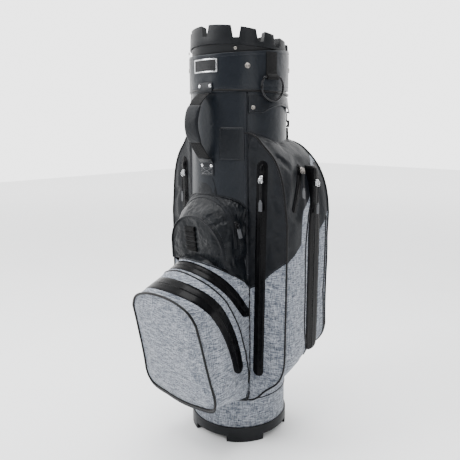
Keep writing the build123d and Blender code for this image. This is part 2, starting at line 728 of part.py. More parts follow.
def straight_tape(frame, up, down, width, depth=4.0):
    """A zip's band, from up above the slider to down below it, before it is fitted to the pocket."""
    with BuildPart() as tape:
        with BuildSketch(frame.offset(-TAPE_RISE - depth)):
            with Locations((0, (up - down) / 2)):
                RectangleRounded(width, up + down, 5.0)
        extrude(amount=depth + TAPE_RISE)
    return tape.part


def fitted(tape, pocket):
    """A tape with its underside cut to its pocket's own surface."""
    with BuildPart() as band:
        add(tape)
        add(pocket, mode=Mode.SUBTRACT)
        for extra in band.solids().sort_by(SortBy.VOLUME)[:-1]:
            add(extra, mode=Mode.SUBTRACT)
    return band.part


def on_front_gusset(x, z, out):
    """A point that far out of the side pocket's front gusset."""
    return front_gusset.from_local_coords(((x - 82) / gusset_run.X, z, out))


front_low = on_front_gusset(122.5, 200, TAPE_RISE + 0.1)
front_rest = on_front_gusset(117.0, 610, TAPE_RISE + 0.1)
front_frame = zip_frame(front_rest, tuple(front_rest - front_low), (0.2, -1, 0))
outer_frame = zip_frame((SIDE_FACE_X + TAPE_RISE + 0.4, OUTER_ZIP_Y, 598), (0, 0, 1), (1, 0, 0))

ARC_POINTS = [Vector(149.0, 24.5, 634.0), Vector(165.6, 1.0, 588.0), Vector(174.0, -22.5, 540.0)]


def circle_through(first, middle, last):
    """Centre of the circle through three points in space."""
    a, b = first - last, middle - last
    normal = a.cross(b)
    offset = (b * a.length**2 - a * b.length**2).cross(normal)
    return last + offset / (2 * normal.length**2)


arc_centre = circle_through(*ARC_POINTS)
arc_axis = (ARC_POINTS[0] - arc_centre).cross(ARC_POINTS[2] - arc_centre).normalized()
arc_radius = (ARC_POINTS[0] - arc_centre).length


def arc_frame(distance, lift):
    """A slider plane on the short zip's arc, that far along it from its upper end."""
    spoke = (ARC_POINTS[0] - arc_centre).rotate(Axis((0, 0, 0), arc_axis), degrees(distance / arc_radius))
    normal = spoke.normalized()
    point = arc_centre + normal * (arc_radius + lift)
    return zip_frame(point, tuple(normal.cross(arc_axis)), tuple(normal))


ARC_LENGTH, ARC_REST = 108.0, 14.0
with BuildPart() as arc_tape:
    start_frame = arc_frame(0, 0)
    with BuildSketch(Plane(origin=start_frame.origin, x_dir=start_frame.x_dir, z_dir=start_frame.y_dir)):
        with Locations((0, 1.0)):
            Rectangle(16.0, 9.0)
    revolve(axis=Axis(arc_centre, arc_axis), revolution_arc=degrees(ARC_LENGTH / arc_radius))
short_frame = arc_frame(ARC_REST, 5.5 + 0.1)

front_tape = straight_tape(front_frame, 36, 440, 26.0, 2.0)
with BuildPart() as outer_tape:
    add(straight_tape(outer_frame, -60, 372, OUTER_ZIP_WIDTH, 2.0))
    add(straight_tape(outer_frame, 22, 100, 20.0, 22.0))
side_tapes = [fitted(tape, side_pocket.part) for tape in (front_tape, outer_tape.part, arc_tape.part)]
side_tapes = Compound(children=side_tapes)
save(side_tapes, "right_zip_tapes")
save(mirror(side_tapes, about=Plane.YZ), "left_zip_tapes")


def pocket_band(grown, form, cutter, floor_z):
    """A band that follows a pocket's wall: the grown form less the form, inside the cutter."""
    with BuildPart() as band:
        add(grown)
        add(form, mode=Mode.SUBTRACT)
        add(cutter, mode=Mode.INTERSECT)
        split(bisect_by=Plane.XY.offset(floor_z), keep=Keep.TOP)
        split(bisect_by=Plane.XZ.offset(71.0), keep=Keep.TOP)
        add(tube_core(0.15), mode=Mode.SUBTRACT)
    return band.part


UPPER_BAND = Vector(0, -113.5, 358.5)
upper_band_plane = Plane(origin=UPPER_BAND, x_dir=(1, 0, 0), z_dir=(0, 0.7629, 0.6465))
with BuildPart() as upper_slab:
    with BuildSketch(upper_band_plane):
        Rectangle(300, 400)
    extrude(amount=10.5, both=True)
with BuildPart() as lower_slab:
    with BuildSketch(Plane.YZ):
        with Locations((-478, 113)):
            Circle(397)
            Circle(365, mode=Mode.SUBTRACT)
    extrude(amount=150, both=True)
cooler_grown, cooler_inner = cooler_form(1.6), cooler_form(0.1)
upper_tape = pocket_band(cooler_grown, cooler_inner, upper_slab.part, 306)
lower_tape = pocket_band(cooler_grown, cooler_inner, lower_slab.part, 182)
cooler_tapes = Compound(children=[upper_tape, lower_tape])
save(cooler_tapes, "cooler_tapes")

ARCH_PLANE = Plane(origin=(0, -102.8, 492.4), x_dir=(1, 0, 0), z_dir=(0, -1, -0.07))
ARCH_RADIUS = 82.6
with BuildPart() as arch_slab:
    with BuildSketch(ARCH_PLANE):
        Rectangle(300, 300)
    extrude(amount=6.5, both=True)
valuables_tape = pocket_band(valuables_form(1.5), valuables_form(0.1), arch_slab.part, 462)
save(valuables_tape, "valuables_tape")

ARCH_REST = 75.0
arch_out = Vector(sin(radians(ARCH_REST)), 0, cos(radians(ARCH_REST)))
arch_up = ARCH_PLANE.z_dir.cross(arch_out)
arch_point = ARCH_PLANE.origin + arch_out * (ARCH_RADIUS + 2.6)
valuables_frame = zip_frame(arch_point, tuple(arch_up), tuple(arch_out + ARCH_PLANE.z_dir * 0.3))
leg_up = (-0.052, -0.648, 0.762)
cooler_frame = zip_frame((-92.6, -99.0, 342.0), leg_up, (-1, 0.08, 0))

side_frames = {"front": front_frame, "outer": outer_frame, "short": short_frame}
for place, frame in side_frames.items():
    slider, puller = slider_at(frame), puller_at(frame, LONG_PULLER)
    save(slider, f"right_{place}_slider")
    save(puller, f"right_{place}_puller")
    save(mirror(slider, about=Plane.YZ), f"left_{place}_slider")
    save(mirror(puller, about=Plane.YZ), f"left_{place}_puller")
for place, frame in {"valuables": valuables_frame, "cooler": cooler_frame}.items():
    save(slider_at(frame), f"{place}_slider")
    save(puller_at(frame, SHORT_PULLER), f"{place}_puller")
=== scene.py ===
"""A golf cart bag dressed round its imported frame. Metres, +Z up, the front faces -Y.

Outlines are given in millimetres, as on the part's drawing, and MM turns them into metres.
Bag angles are in degrees from the front, positive towards +X.
"""
import json
import math

import bmesh
import bpy
import numpy as np
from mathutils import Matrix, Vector, noise

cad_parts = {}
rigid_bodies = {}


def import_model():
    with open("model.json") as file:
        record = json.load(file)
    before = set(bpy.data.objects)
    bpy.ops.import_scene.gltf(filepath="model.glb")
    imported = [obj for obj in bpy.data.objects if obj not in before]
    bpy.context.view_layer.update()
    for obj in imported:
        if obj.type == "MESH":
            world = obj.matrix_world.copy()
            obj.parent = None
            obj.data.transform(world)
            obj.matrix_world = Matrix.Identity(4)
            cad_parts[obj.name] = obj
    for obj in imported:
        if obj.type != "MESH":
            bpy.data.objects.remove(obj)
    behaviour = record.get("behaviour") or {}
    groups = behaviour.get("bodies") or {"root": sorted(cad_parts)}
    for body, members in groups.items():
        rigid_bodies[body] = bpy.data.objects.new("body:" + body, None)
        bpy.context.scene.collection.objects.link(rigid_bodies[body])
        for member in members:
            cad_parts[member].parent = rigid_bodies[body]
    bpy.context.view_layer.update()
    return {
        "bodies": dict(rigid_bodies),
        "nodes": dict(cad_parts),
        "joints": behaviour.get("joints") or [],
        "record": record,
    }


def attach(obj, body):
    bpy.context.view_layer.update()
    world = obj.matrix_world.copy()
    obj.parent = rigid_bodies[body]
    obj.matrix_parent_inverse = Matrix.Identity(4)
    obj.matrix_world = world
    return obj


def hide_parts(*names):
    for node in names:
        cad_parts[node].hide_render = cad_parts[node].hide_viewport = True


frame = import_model()
NODES = frame["nodes"]
MM = 0.001

# ---- Driving dimensions, in millimetres ----
TUBE_BOTTOM, TUBE_TOP = 18.0, 812.0
TUBE_RADIUS_BOTTOM, TUBE_RADIUS_TOP = 110.0, 104.0
SKIN_OUT = 1.7
COLLAR_RADIUS = 109.5
SEAM_ANGLE = 50.6

# ---- Camera: angles in radians, distances in metres ----
CAMERA_AZIMUTH = math.radians(41.5)
CAMERA_PITCH = 0.1945
CAMERA_DISTANCE, CAMERA_HEIGHT = 1.2267, 0.7194
camera = bpy.data.objects.new("camera", bpy.data.cameras.new("camera"))
bpy.context.scene.collection.objects.link(camera)
camera.location = (
    math.sin(CAMERA_AZIMUTH) * CAMERA_DISTANCE,
    -math.cos(CAMERA_AZIMUTH) * CAMERA_DISTANCE,
    CAMERA_HEIGHT,
)
camera.rotation_euler = (math.pi / 2 - CAMERA_PITCH, 0, CAMERA_AZIMUTH)
camera.data.sensor_width = 36.0
camera.data.lens = 41.6
camera.data.shift_x = -0.0196
camera.data.clip_start, camera.data.clip_end = 0.02, 40.0
bpy.context.scene.camera = camera


# ---- Geometry helpers: all work on numpy arrays of points, in metres ----
def tube_radius(z):
    """Outer radius of the bag's skin at height z, in millimetres."""
    share = (z - TUBE_BOTTOM) / (TUBE_TOP - TUBE_BOTTOM)
    return TUBE_RADIUS_BOTTOM + share * (TUBE_RADIUS_TOP - TUBE_RADIUS_BOTTOM) + SKIN_OUT


def around(radius, angle, z):
    """Points at a radius (mm), bag angle (degrees) and height (mm), in metres."""
    radius, angle, z = np.broadcast_arrays(
        np.asarray(radius, float), np.radians(np.asarray(angle, float)), np.asarray(z, float)
    )
    return np.stack([radius * np.sin(angle), -radius * np.cos(angle), z], -1) * MM


def smooth(t):
    """Eases t from 0 to 1."""
    t = np.clip(t, 0, 1)
    return t * t * (3 - 2 * t)


def unit(vectors):
    """The same vectors at length 1."""
    vectors = np.asarray(vectors, float)
    return vectors / np.maximum(np.linalg.norm(vectors, axis=-1, keepdims=True), 1e-12)


def rounded(t):
    """The rise of a quarter circle as t goes from 0 to 1."""
    return np.sqrt(np.clip(1 - (1 - t) ** 2, 0, 1))


def directions(angle):
    """Unit vectors out from the bag and across it at a bag angle in degrees."""
    a = math.radians(angle)
    return np.array([math.sin(a), -math.cos(a), 0.0]), np.array([math.cos(a), math.sin(a), 0.0])


def length_along(points):
    """How far along a run of points each one lies."""
    return np.concatenate([[0], np.cumsum(np.linalg.norm(np.diff(points, axis=0), axis=1))])


def read_run(at, known, points):
    """The coordinates of a run of points, read between its known lengths or shares."""
    return np.stack([np.interp(at, known, points[:, k]) for k in range(points.shape[1])], -1)


def evened(values, window):
    """A running mean that keeps the count of values."""
    return np.convolve(np.pad(values, window // 2, mode="edge"), np.full(window, 1 / window), mode="valid")


def off_skin(points):
    """How far outside the bag's skin points lie, in millimetres."""
    return np.linalg.norm(points[..., :2], axis=-1) / MM - tube_radius(points[..., 2] / MM)


def near_skin(points):
    """Which points lie on the bag's skin."""
    return np.linalg.norm(points[..., :2], axis=-1) < (tube_radius(points[..., 2] / MM) + 0.3) * MM


def folds(places, rough, lacunarity, octaves):
    """Slow folded noise at an array of places."""
    flat = [noise.fractal(Vector(place), rough, lacunarity, octaves) for place in places.reshape(-1, 3)]
    return np.array(flat).reshape(places.shape[:-1])


def curve_through(points, count, closed=False):
    """An even run of points along a natural cubic through the given ones."""
    points = np.asarray(points, float)
    if closed:
        points = np.vstack([points[-3:], points, points[:4]])
    steps = np.maximum(np.linalg.norm(np.diff(points, axis=0), axis=1), 1e-9)
    knots = np.concatenate([[0], np.cumsum(steps)])
    n = len(points)
    system, right = np.eye(n), np.zeros((n, points.shape[1]))
    for i in range(1, n - 1):
        before, after = steps[i - 1], steps[i]
        system[i, i - 1 : i + 2] = before, 2 * (before + after), after
        right[i] = 6 * ((points[i + 1] - points[i]) / after - (points[i] - points[i - 1]) / before)
    bend = np.linalg.solve(system, right)
    start, stop = (knots[3], knots[n - 4]) if closed else (0.0, knots[-1])

    def read(at):
        i = np.clip(np.searchsorted(knots, at, side="right") - 1, 0, n - 2)
        h = steps[i][:, None]
        a = (knots[i + 1] - at)[:, None] / h
        b = (at - knots[i])[:, None] / h
        bends = (a**3 - a) * bend[i] + (b**3 - b) * bend[i + 1]
        return a * points[i] + b * points[i + 1] + bends * h**2 / 6

    fine = read(np.linspace(start, stop, 40 * count))
    length = length_along(fine)
    return read_run(np.linspace(0, length[-1], count, endpoint=not closed), length, fine)


class Surface:
    """A smooth sheet through a grid of points, read at any (u, v) from 0 to 1."""

    def __init__(self, points, inside):
        self.points, self.sign = np.asarray(points, float), 1.0
        if np.dot(self.normal(0.5, 0.5), self.at(0.5, 0.5) - np.asarray(inside, float)) < 0:
            self.sign = -1.0

    def at(self, u, v):
        """Catmull-Rom points at u and v, which may be arrays."""
        u, v = np.broadcast_arrays(np.asarray(u, float), np.asarray(v, float))
        rows, columns = self.points.shape[:2]
        x = np.clip(u, 0, 1) * (rows - 1)
        y = np.clip(v, 0, 1) * (columns - 1)
        i = np.clip(np.floor(x), 0, rows - 2).astype(int)
        j = np.clip(np.floor(y), 0, columns - 2).astype(int)
        row_weights, column_weights = self._weights(x - i), self._weights(y - j)
        total = np.zeros(u.shape + (3,))
        for a in range(4):
            ia = np.clip(i + a - 1, 0, rows - 1)
            for b in range(4):
                jb = np.clip(j + b - 1, 0, columns - 1)
                weight = row_weights[a] * column_weights[b]
                total += weight[..., None] * self.points[ia, jb]
        return total

    @staticmethod
    def _weights(t):
        """The four Catmull-Rom weights at t between two rows."""
        return (
            0.5 * (-t + 2 * t**2 - t**3),
            0.5 * (2 - 5 * t**2 + 3 * t**3),
            0.5 * (t + 4 * t**2 - 3 * t**3),
            0.5 * (t**3 - t**2),
        )

    def slopes(self, u, v, step=2e-3):
        """How the point moves with u and with v."""
        u, v = np.broadcast_arrays(np.asarray(u, float), np.asarray(v, float))
        u0, u1 = np.clip(u - step, 0, 1), np.clip(u + step, 0, 1)
        v0, v1 = np.clip(v - step, 0, 1), np.clip(v + step, 0, 1)
        du = (self.at(u1, v) - self.at(u0, v)) / (u1 - u0)[..., None]
        dv = (self.at(u, v1) - self.at(u, v0)) / (v1 - v0)[..., None]
        return du, dv

    def normal(self, u, v):
        """The outward unit normal."""
        du, dv = self.slopes(u, v)
        return unit(np.cross(du, dv)) * self.sign

    def lifted(self, u, v, lift):
        """Points lift metres out from the sheet."""
        return self.at(u, v) + self.normal(u, v) * np.asarray(lift, float)[..., None]

    def across(self, surface_depth, ring):
        """The points of a grid of depths by rings."""
        d, c = np.meshgrid(surface_depth, ring)
        return self.at(d, c)

    def find(self, targets, rounds=12):
        """The (u, v) of the points on the sheet that lie nearest to the targets."""
        targets = np.atleast_2d(targets)
        rows, columns = self.points.shape[:2]
        flat = self.points.reshape(-1, 3)
        nearest = [int(np.argmin(((flat - t) ** 2).sum(1))) for t in targets]
        u = np.array([n // columns for n in nearest], float) / (rows - 1)
        v = np.array([n % columns for n in nearest], float) / (columns - 1)
        for _ in range(rounds):
            u, v = self.shifted(u, v, targets - self.at(u, v))
        return u, v

    def shifted(self, u, v, move):
        """The (u, v) that lie about move (a vector in metres) away along the sheet."""
        du, dv = self.slopes(u, v)
        a, b, c = (du * du).sum(-1), (du * dv).sum(-1), (dv * dv).sum(-1)
        p, q = (du * move).sum(-1), (dv * move).sum(-1)
        det = np.maximum(a * c - b * b, 1e-16)
        return np.clip(u + (c * p - b * q) / det, 0, 1), np.clip(v + (a * q - b * p) / det, 0, 1)


# ---- Mesh helpers ----
def new_object(name, vertices, faces, material, body):
    """A mesh object that rides on a body."""
    mesh = bpy.data.meshes.new(name)
    mesh.from_pydata([tuple(map(float, p)) for p in vertices], [], faces)
    mesh.polygons.foreach_set("use_smooth", [True] * len(mesh.polygons))
    mesh.update()
    piece = bpy.data.objects.new(name, mesh)
    bpy.context.scene.collection.objects.link(piece)
    piece.data.materials.append(material)
    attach(piece, body)
    return piece


def grid_faces(rows, columns, closed_rows=False, closed_columns=False, start=0, flip=False):
    """Quads over a grid of vertices, row by row."""
    faces = []
    for i in range(rows if closed_rows else rows - 1):
        here, below = start + i * columns, start + (i + 1) % rows * columns
        for j in range(columns if closed_columns else columns - 1):
            j2 = (j + 1) % columns
            quad = (here + j, below + j, below + j2, here + j2)
            faces.append(quad[::-1] if flip else quad)
    return faces


ANY_WAY = np.array([0.31, 0.22, 0.92])  # a direction that no tube starts along


class Builder:
    """Collects grids, tubes and stitches, and turns them into one piece."""

    def __init__(self):
        self.vertices, self.faces = [], []

    def grid(self, points, closed_rows=False, closed_columns=False, flip=False):
        rows, columns = points.shape[:2]
        start = len(self.vertices)
        self.vertices.extend(points.reshape(-1, 3))
        self.faces.extend(grid_faces(rows, columns, closed_rows, closed_columns, start, flip))

    def tube(self, path, radius, sides=10, closed=False):
        """A round cord along a path, capped at its ends unless it is closed."""
        path = np.asarray(path, float)
        count = len(path)
        ahead = unit(np.roll(path, -1, 0) - np.roll(path, 1, 0) if closed else np.gradient(path, axis=0))
        side = np.zeros_like(path)
        current = unit(np.cross(ahead[0], ANY_WAY))
        for k in range(count):
            current = unit(current - ahead[k] * np.dot(current, ahead[k]))
            side[k] = current
        other = unit(np.cross(ahead, side))
        radius = np.broadcast_to(np.asarray(radius, float), (count,))
        angles = np.linspace(0, 2 * np.pi, sides, endpoint=False)
        ring = side[:, None] * np.cos(angles)[None, :, None] + other[:, None] * np.sin(angles)[None, :, None]
        self.grid(path[:, None] + ring * radius[:, None, None], closed_rows=closed, closed_columns=True)
        if not closed:
            for end, flip in ((0, False), (count - 1, True)):
                first = len(self.vertices) - (count - end) * sides
                cap = list(range(first, first + sides))
                self.faces.append(tuple(cap[::-1] if flip else cap))

    def stitches(self, path, normals, length=3.2, gap=1.2, radius=0.28, lift=0.1):
        """Short threads along a path, each a small rounded bar sunk into the surface."""
        run = length_along(path)
        pitch = (length + gap) * MM
        for k in range(int(run[-1] / pitch)):
            at = k * pitch + np.linspace(0, length, 4) * MM
            line, out = read_run(at, run, path), unit(read_run(at, run, normals))
            rise = np.array([-0.25, lift + 0.12, lift + 0.12, -0.25]) * MM
            self.tube(line + out * rise[:, None], np.array([0.6, 1, 1, 0.6]) * radius * MM, sides=5)

    def stitches_on(self, surface, u, v, lift):
        """Stitches over (u, v) on a surface, with the path lifted in millimetres."""
        u, v = np.broadcast_arrays(u, v)
        self.stitches(surface.lifted(u, v, lift * MM), surface.normal(u, v))

    def stitches_round(self, radius, angle, z):
        """Stitches on the bag along a radius (mm), bag angles (degrees) and heights (mm)."""
        self.stitches(around(radius, angle, z), around(1000.0, angle + 0.0 * z, 0.0))

    def build(self, name, material, body, slot, node=None, fill=None):
        """The piece, which stands in for a CAD node where one is given. fill is not used."""
        piece = new_object(name, self.vertices, self.faces, material, body)
        if node:
            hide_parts(node)
        return piece


def shade_sharp(piece, degrees):
    """Smooth shading with edges kept above an angle."""
    mesh = piece.data
    mesh.polygons.foreach_set("use_smooth", [True] * len(mesh.polygons))
    shape = bmesh.new()
    shape.from_mesh(mesh)
    for edge in shape.edges:
        if len(edge.link_faces) == 2:
            edge.smooth = edge.calc_face_angle(0.0) < math.radians(degrees)
    shape.to_mesh(mesh)
    shape.free()


# ---- Materials: every one is procedural, from object-space or UV patterns in metres ----
class Shader:
    """A Principled material built node by node."""

    def __init__(self, name, **sockets):
        self.material = bpy.data.materials.new(name)
        self.material.use_nodes = True
        self.tree = self.material.node_tree
        self.surface = self.tree.nodes["Principled BSDF"]
        for socket, value in sockets.items():
            self.surface.inputs[socket.replace("_", " ")].default_value = value
        place = self.tree.nodes.new("ShaderNodeTexCoord")
        self.place, self.uv = place.outputs["Object"], place.outputs["UV"]
        self.last_bump = None

    def node(self, kind, inputs=None, **settings):
        node = self.tree.nodes.new(kind)
        for key, value in settings.items():
            setattr(node, key, value)
        for key, value in (inputs or {}).items():
            if isinstance(value, bpy.types.NodeSocket):
                self.tree.links.new(value, node.inputs[key])
            else:
                node.inputs[key].default_value = value
        return node

    def scaled(self, stretch):
        """The place, scaled by an amount on each axis."""
        inputs = {"Vector": self.place, "Scale": stretch}
        return self.node("ShaderNodeMapping", inputs).outputs["Vector"]

    def noise(self, scale, detail=2.0, rough=0.5, stretch=(1, 1, 1), warp=0.0):
        inputs = {"Vector": self.scaled(stretch), "Scale": scale, "Detail": detail, "Roughness": rough}
        inputs["Distortion"] = warp
        return self.node("ShaderNodeTexNoise", inputs).outputs["Fac"]

    def cells(self, scale):
        inputs = {"Vector": self.scaled((1, 1, 1)), "Scale": scale}
        return self.node("ShaderNodeTexVoronoi", inputs, feature="SMOOTH_F1").outputs["Distance"]

    def waves(self, scale, axis="X", warp=0.0, source=None):
        inputs = {"Vector": source or self.place, "Scale": scale, "Distortion": warp}
        return self.node("ShaderNodeTexWave", inputs, bands_direction=axis).outputs["Fac"]

    def math(self, operation, a, b=0.0):
        return self.node("ShaderNodeMath", {0: a, 1: b}, operation=operation).outputs[0]

    def ramp(self, value, *stops):
        """A colour ramp. Each stop is (position, colour or grey)."""
        node = self.node("ShaderNodeValToRGB", {"Fac": value})
        ramp = node.color_ramp
        while len(ramp.elements) < len(stops):
            ramp.elements.new(0.5)
        for element, (position, colour) in zip(ramp.elements, stops):
            element.position = position
            rgb = colour if isinstance(colour, tuple) else (colour,) * 3
            element.color = (*rgb, 1.0)
        return node.outputs["Color"]

    def blend(self, value, a, b):
        """Colour a blended towards colour b."""
        node = self.node("ShaderNodeMix", {"Factor": value}, data_type="RGBA")
        for index, colour in ((6, a), (7, b)):
            if isinstance(colour, bpy.types.NodeSocket):
                self.tree.links.new(colour, node.inputs[index])
            else:
                node.inputs[index].default_value = (*colour, 1.0)
        return node.outputs[2]

    def colour(self, socket):
        self.tree.links.new(socket, self.surface.inputs["Base Color"])

    def roughness(self, value, low, high):
        inputs = {"Value": value, "To Min": low, "To Max": high}
        spread = self.node("ShaderNodeMapRange", inputs)
        self.tree.links.new(spread.outputs["Result"], self.surface.inputs["Roughness"])

    def bump(self, height, distance, strength=1.0):
        inputs = {"Height": height, "Distance": distance, "Strength": strength}
        if self.last_bump:
            inputs["Normal"] = self.last_bump
        self.last_bump = self.node("ShaderNodeBump", inputs).outputs["Normal"]

    def done(self):
        if self.last_bump:
            self.tree.links.new(self.last_bump, self.surface.inputs["Normal"])
        return self.material


def make_leather(name, dark, light, low, high, grain=900.0):
    """Grained synthetic leather: pebbles, fine pores and slow creases, with a worn variation."""
    shader = Shader(name, Specular_IOR_Level=0.22)
    patches = shader.noise(16.0, 4.0, 0.6)
    pebbles = shader.cells(grain)
    shader.colour(shader.blend(shader.ramp(pebbles, (0.25, 0.0), (0.75, 0.5)), dark, light))
    shader.roughness(patches, low, high)
    shader.bump(shader.noise(55.0, 3.0, 0.5, warp=0.6), 0.0014, 0.5)
    shader.bump(pebbles, 0.00035, 0.55)
    shader.bump(shader.noise(2800.0, 1.0), 0.00006, 0.4)
    return shader.done()


def make_heather():
    """A melange weave: broken light and dark yarns both ways, with slubs."""
    shader = Shader("heather_weave", Sheen_Weight=0.15, Specular_IOR_Level=0.25)
    across = shader.noise(62.0, 5.0, 0.72, (1.0, 1.0, 12.0))
    along = shader.noise(74.0, 5.0, 0.72, (10.0, 10.0, 0.8))
    slubs = shader.noise(80.0, 4.0, 0.7, (1.0, 1.0, 6.0))
    cloud = shader.noise(30.0, 3.0, 0.6)
    yarn = shader.ramp(
        shader.math("ADD", shader.math("MULTIPLY", across, 0.55), shader.math("MULTIPLY", along, 0.45)),
        (0.425, (0.018, 0.022, 0.034)),
        (0.475, (0.070, 0.082, 0.110)),
        (0.515, (0.205, 0.226, 0.262)),
        (0.565, (0.400, 0.425, 0.460)),
    )
    light = shader.blend(shader.ramp(slubs, (0.54, 0.0), (0.72, 0.55)), yarn, (0.36, 0.38, 0.42))
    shader.colour(shader.blend(shader.ramp(cloud, (0.3, 0.0), (0.75, 0.3)), light, (0.12, 0.135, 0.165)))
    shader.roughness(cloud, 0.72, 0.9)
    weave = shader.math("MULTIPLY", shader.waves(430.0, "Z", 1.2), shader.waves(330.0, "DIAGONAL", 1.2))
    shader.bump(across, 0.0005, 0.5)
    shader.bump(weave, 0.00025, 0.6)
    return shader.done()


def make_nylon(name, base, low, high, crumple):
    """Coated nylon: a fine plain weave under shallow crumples that catch the light."""
    shader = Shader(name, Specular_IOR_Level=0.18)
    patches = shader.noise(45.0, 4.0, 0.65)
    lighter = tuple(2.0 * c + 0.001 for c in base)
    shader.colour(shader.blend(shader.ramp(patches, (0.35, 0.0), (0.75, 0.6)), base, lighter))
    shader.roughness(patches, low, high)
    shader.bump(shader.noise(42.0, 3.0, 0.55, warp=1.1), crumple, 0.8)
    shader.bump(shader.noise(120.0, 2.0, 0.5, warp=0.8), crumple * 0.3, 0.7)
    weave = shader.math("MULTIPLY", shader.waves(500.0, "Z"), shader.waves(380.0, "DIAGONAL"))
    shader.bump(weave, 0.00012, 0.5)
    return shader.done()


def make_webbing(name, base):
    """Ribbed webbing, with its ribs across and its picks along the strap's own UV."""
    shader = Shader(name, Sheen_Weight=0.03, Specular_IOR_Level=0.1)
    ribs = shader.waves(320.0, "Y", 0.4, shader.uv)
    picks = shader.waves(260.0, "X", 0.6, shader.uv)
    fuzz = shader.noise(900.0, 2.0)
    lighter = tuple(2.2 * c + 0.002 for c in base)
    shader.colour(shader.blend(shader.math("MULTIPLY", ribs, fuzz), base, lighter))
    shader.roughness(fuzz, 0.6, 0.8)
    shader.bump(shader.math("MAXIMUM", ribs, picks), 0.0005, 0.7)
    shader.bump(fuzz, 0.0001, 0.5)
    return shader.done()


def make_plastic(name, base, low, high, texture=0.00012, scale=1500.0):
    """Moulded plastic with a fine spark texture and faint wear."""
    shader = Shader(name, Specular_IOR_Level=0.17)
    wear = shader.noise(22.0, 5.0, 0.65)
    lighter = tuple(1.5 * c + 0.002 for c in base)
    shader.colour(shader.blend(shader.ramp(wear, (0.4, 0.0), (0.8, 0.7)), base, lighter))
    shader.roughness(wear, low, high)
    shader.bump(shader.noise(scale, 2.0), texture, 0.6)
    shader.bump(shader.noise(60.0, 2.0), 0.0004, 0.2)
    return shader.done()


def make_metal(name, base, low, high):
    """Plated metal with fine scratches."""
    shader = Shader(name, Metallic=1.0)
    smear = shader.noise(180.0, 3.0, 0.6)
    scratches = shader.noise(700.0, 3.0, 0.7, (1.0, 8.0, 1.0))
    duller = tuple(0.75 * c for c in base)
    shader.colour(shader.blend(smear, base, duller))
    shader.roughness(scratches, low, high)
    shader.bump(scratches, 0.00004, 0.5)
    return shader.done()


def make_film():
    """Glossy film welded over a zip, with faint ripples."""
    shader = Shader("film_gloss", Specular_IOR_Level=0.05, Coat_Weight=0.03, Coat_Roughness=0.08)
    ripple = shader.noise(70.0, 3.0, 0.5, (1.0, 1.0, 0.5))
    shader.colour(shader.ramp(ripple, (0.3, (0.0014, 0.0014, 0.0018)), (0.8, (0.0035, 0.0037, 0.0045))))
    shader.roughness(ripple, 0.2, 0.34)
    shader.bump(ripple, 0.0011, 0.4)
    shader.bump(shader.noise(1800.0, 1.0), 0.00005, 0.4)
    return shader.done()


def make_cloth(name, base, rough_low, rough_high):
    """Brushed or felted cloth with a soft nap."""
    shader = Shader(name, Sheen_Weight=0.08, Specular_IOR_Level=0.15)
    nap = shader.noise(420.0, 4.0, 0.7)
    lighter = tuple(1.6 * c + 0.003 for c in base)
    shader.colour(shader.blend(nap, base, lighter))
    shader.roughness(nap, rough_low, rough_high)
    shader.bump(nap, 0.0005, 0.5)
    return shader.done()


def make_floor():
    shader = Shader("floor_paper", Specular_IOR_Level=0.2)
    tone = shader.noise(3.0, 2.0)
    shader.colour(shader.ramp(tone, (0.3, (0.90, 0.905, 0.91)), (0.7, (0.92, 0.925, 0.93))))
    shader.roughness(tone, 0.85, 0.95)
    # Far from the bag the paper glows a little, so that it meets the backdrop without an edge.
    far = shader.node("ShaderNodeVectorMath", {0: shader.place}, operation="LENGTH").outputs["Value"]
    ranges = {"Value": far, "From Min": 1.2, "From Max": 5.5, "To Min": 0.0, "To Max": 0.75}
    glow = shader.node("ShaderNodeMapRange", ranges, interpolation_type="SMOOTHSTEP").outputs["Result"]
    shader.surface.inputs["Emission Color"].default_value = (1.0, 1.0, 1.0, 1.0)
    shader.tree.links.new(glow, shader.surface.inputs["Emission Strength"])
    return shader.done()


LEATHER = make_leather("leather_body", (0.0051, 0.0070, 0.0104), (0.0108, 0.0143, 0.0197), 0.28, 0.42)
SMOOTH_LEATHER = make_leather("leather_smooth", (0.0036, 0.0048, 0.007), (0.0078, 0.0102, 0.014), 0.26, 0.38, 1500)
HEATHER = make_heather()
NYLON = make_nylon("nylon_crinkled", (0.0021, 0.0030, 0.0044), 0.28, 0.46, 0.0026)
NYLON_PLAIN = make_nylon("nylon_plain", (0.0024, 0.0032, 0.0048), 0.4, 0.56, 0.0014)
WEBBING = make_webbing("webbing_black", (0.003, 0.0031, 0.0035))
MOULDED = make_plastic("moulded_charcoal", (0.0062, 0.007, 0.0084), 0.36, 0.5)
STRUCTURE = make_plastic("tube_sheet", (0.05, 0.05, 0.053), 0.4, 0.55)
GRID_PLASTIC = make_cloth("grid_sleeve", (0.008, 0.008, 0.009), 0.7, 0.9)
FILM = make_film()
PIPING = make_plastic("piping_gloss", (0.002, 0.002, 0.0025), 0.28, 0.4, 0.00005)
THREAD_LIGHT = make_cloth("thread_light", (0.2, 0.205, 0.215), 0.5, 0.7)
THREAD_GREY = make_cloth("thread_grey", (0.022, 0.024, 0.03), 0.5, 0.7)
NICKEL = make_metal("metal_nickel", (0.30, 0.28, 0.26), 0.22, 0.4)
BRIGHT = make_metal("metal_bright", (0.72, 0.73, 0.75), 0.14, 0.32)
DARK_METAL = make_metal("metal_black", (0.03, 0.03, 0.032), 0.16, 0.3)
PLATE = make_leather("plate_inlay_leather", (0.004, 0.0045, 0.006), (0.008, 0.009, 0.011), 0.3, 0.4, 1800.0)
TAB_RUBBER = make_plastic("tab_rubber", (0.055, 0.057, 0.062), 0.3, 0.44, 0.00008)
CORD = make_cloth("cord_black", (0.004, 0.004, 0.005), 0.5, 0.7)
CURTAIN = make_cloth("curtain_cloth", (0.03, 0.03, 0.033), 0.75, 0.95)
BOARD = make_cloth("felt_board", (0.025, 0.025, 0.026), 0.85, 1.0)
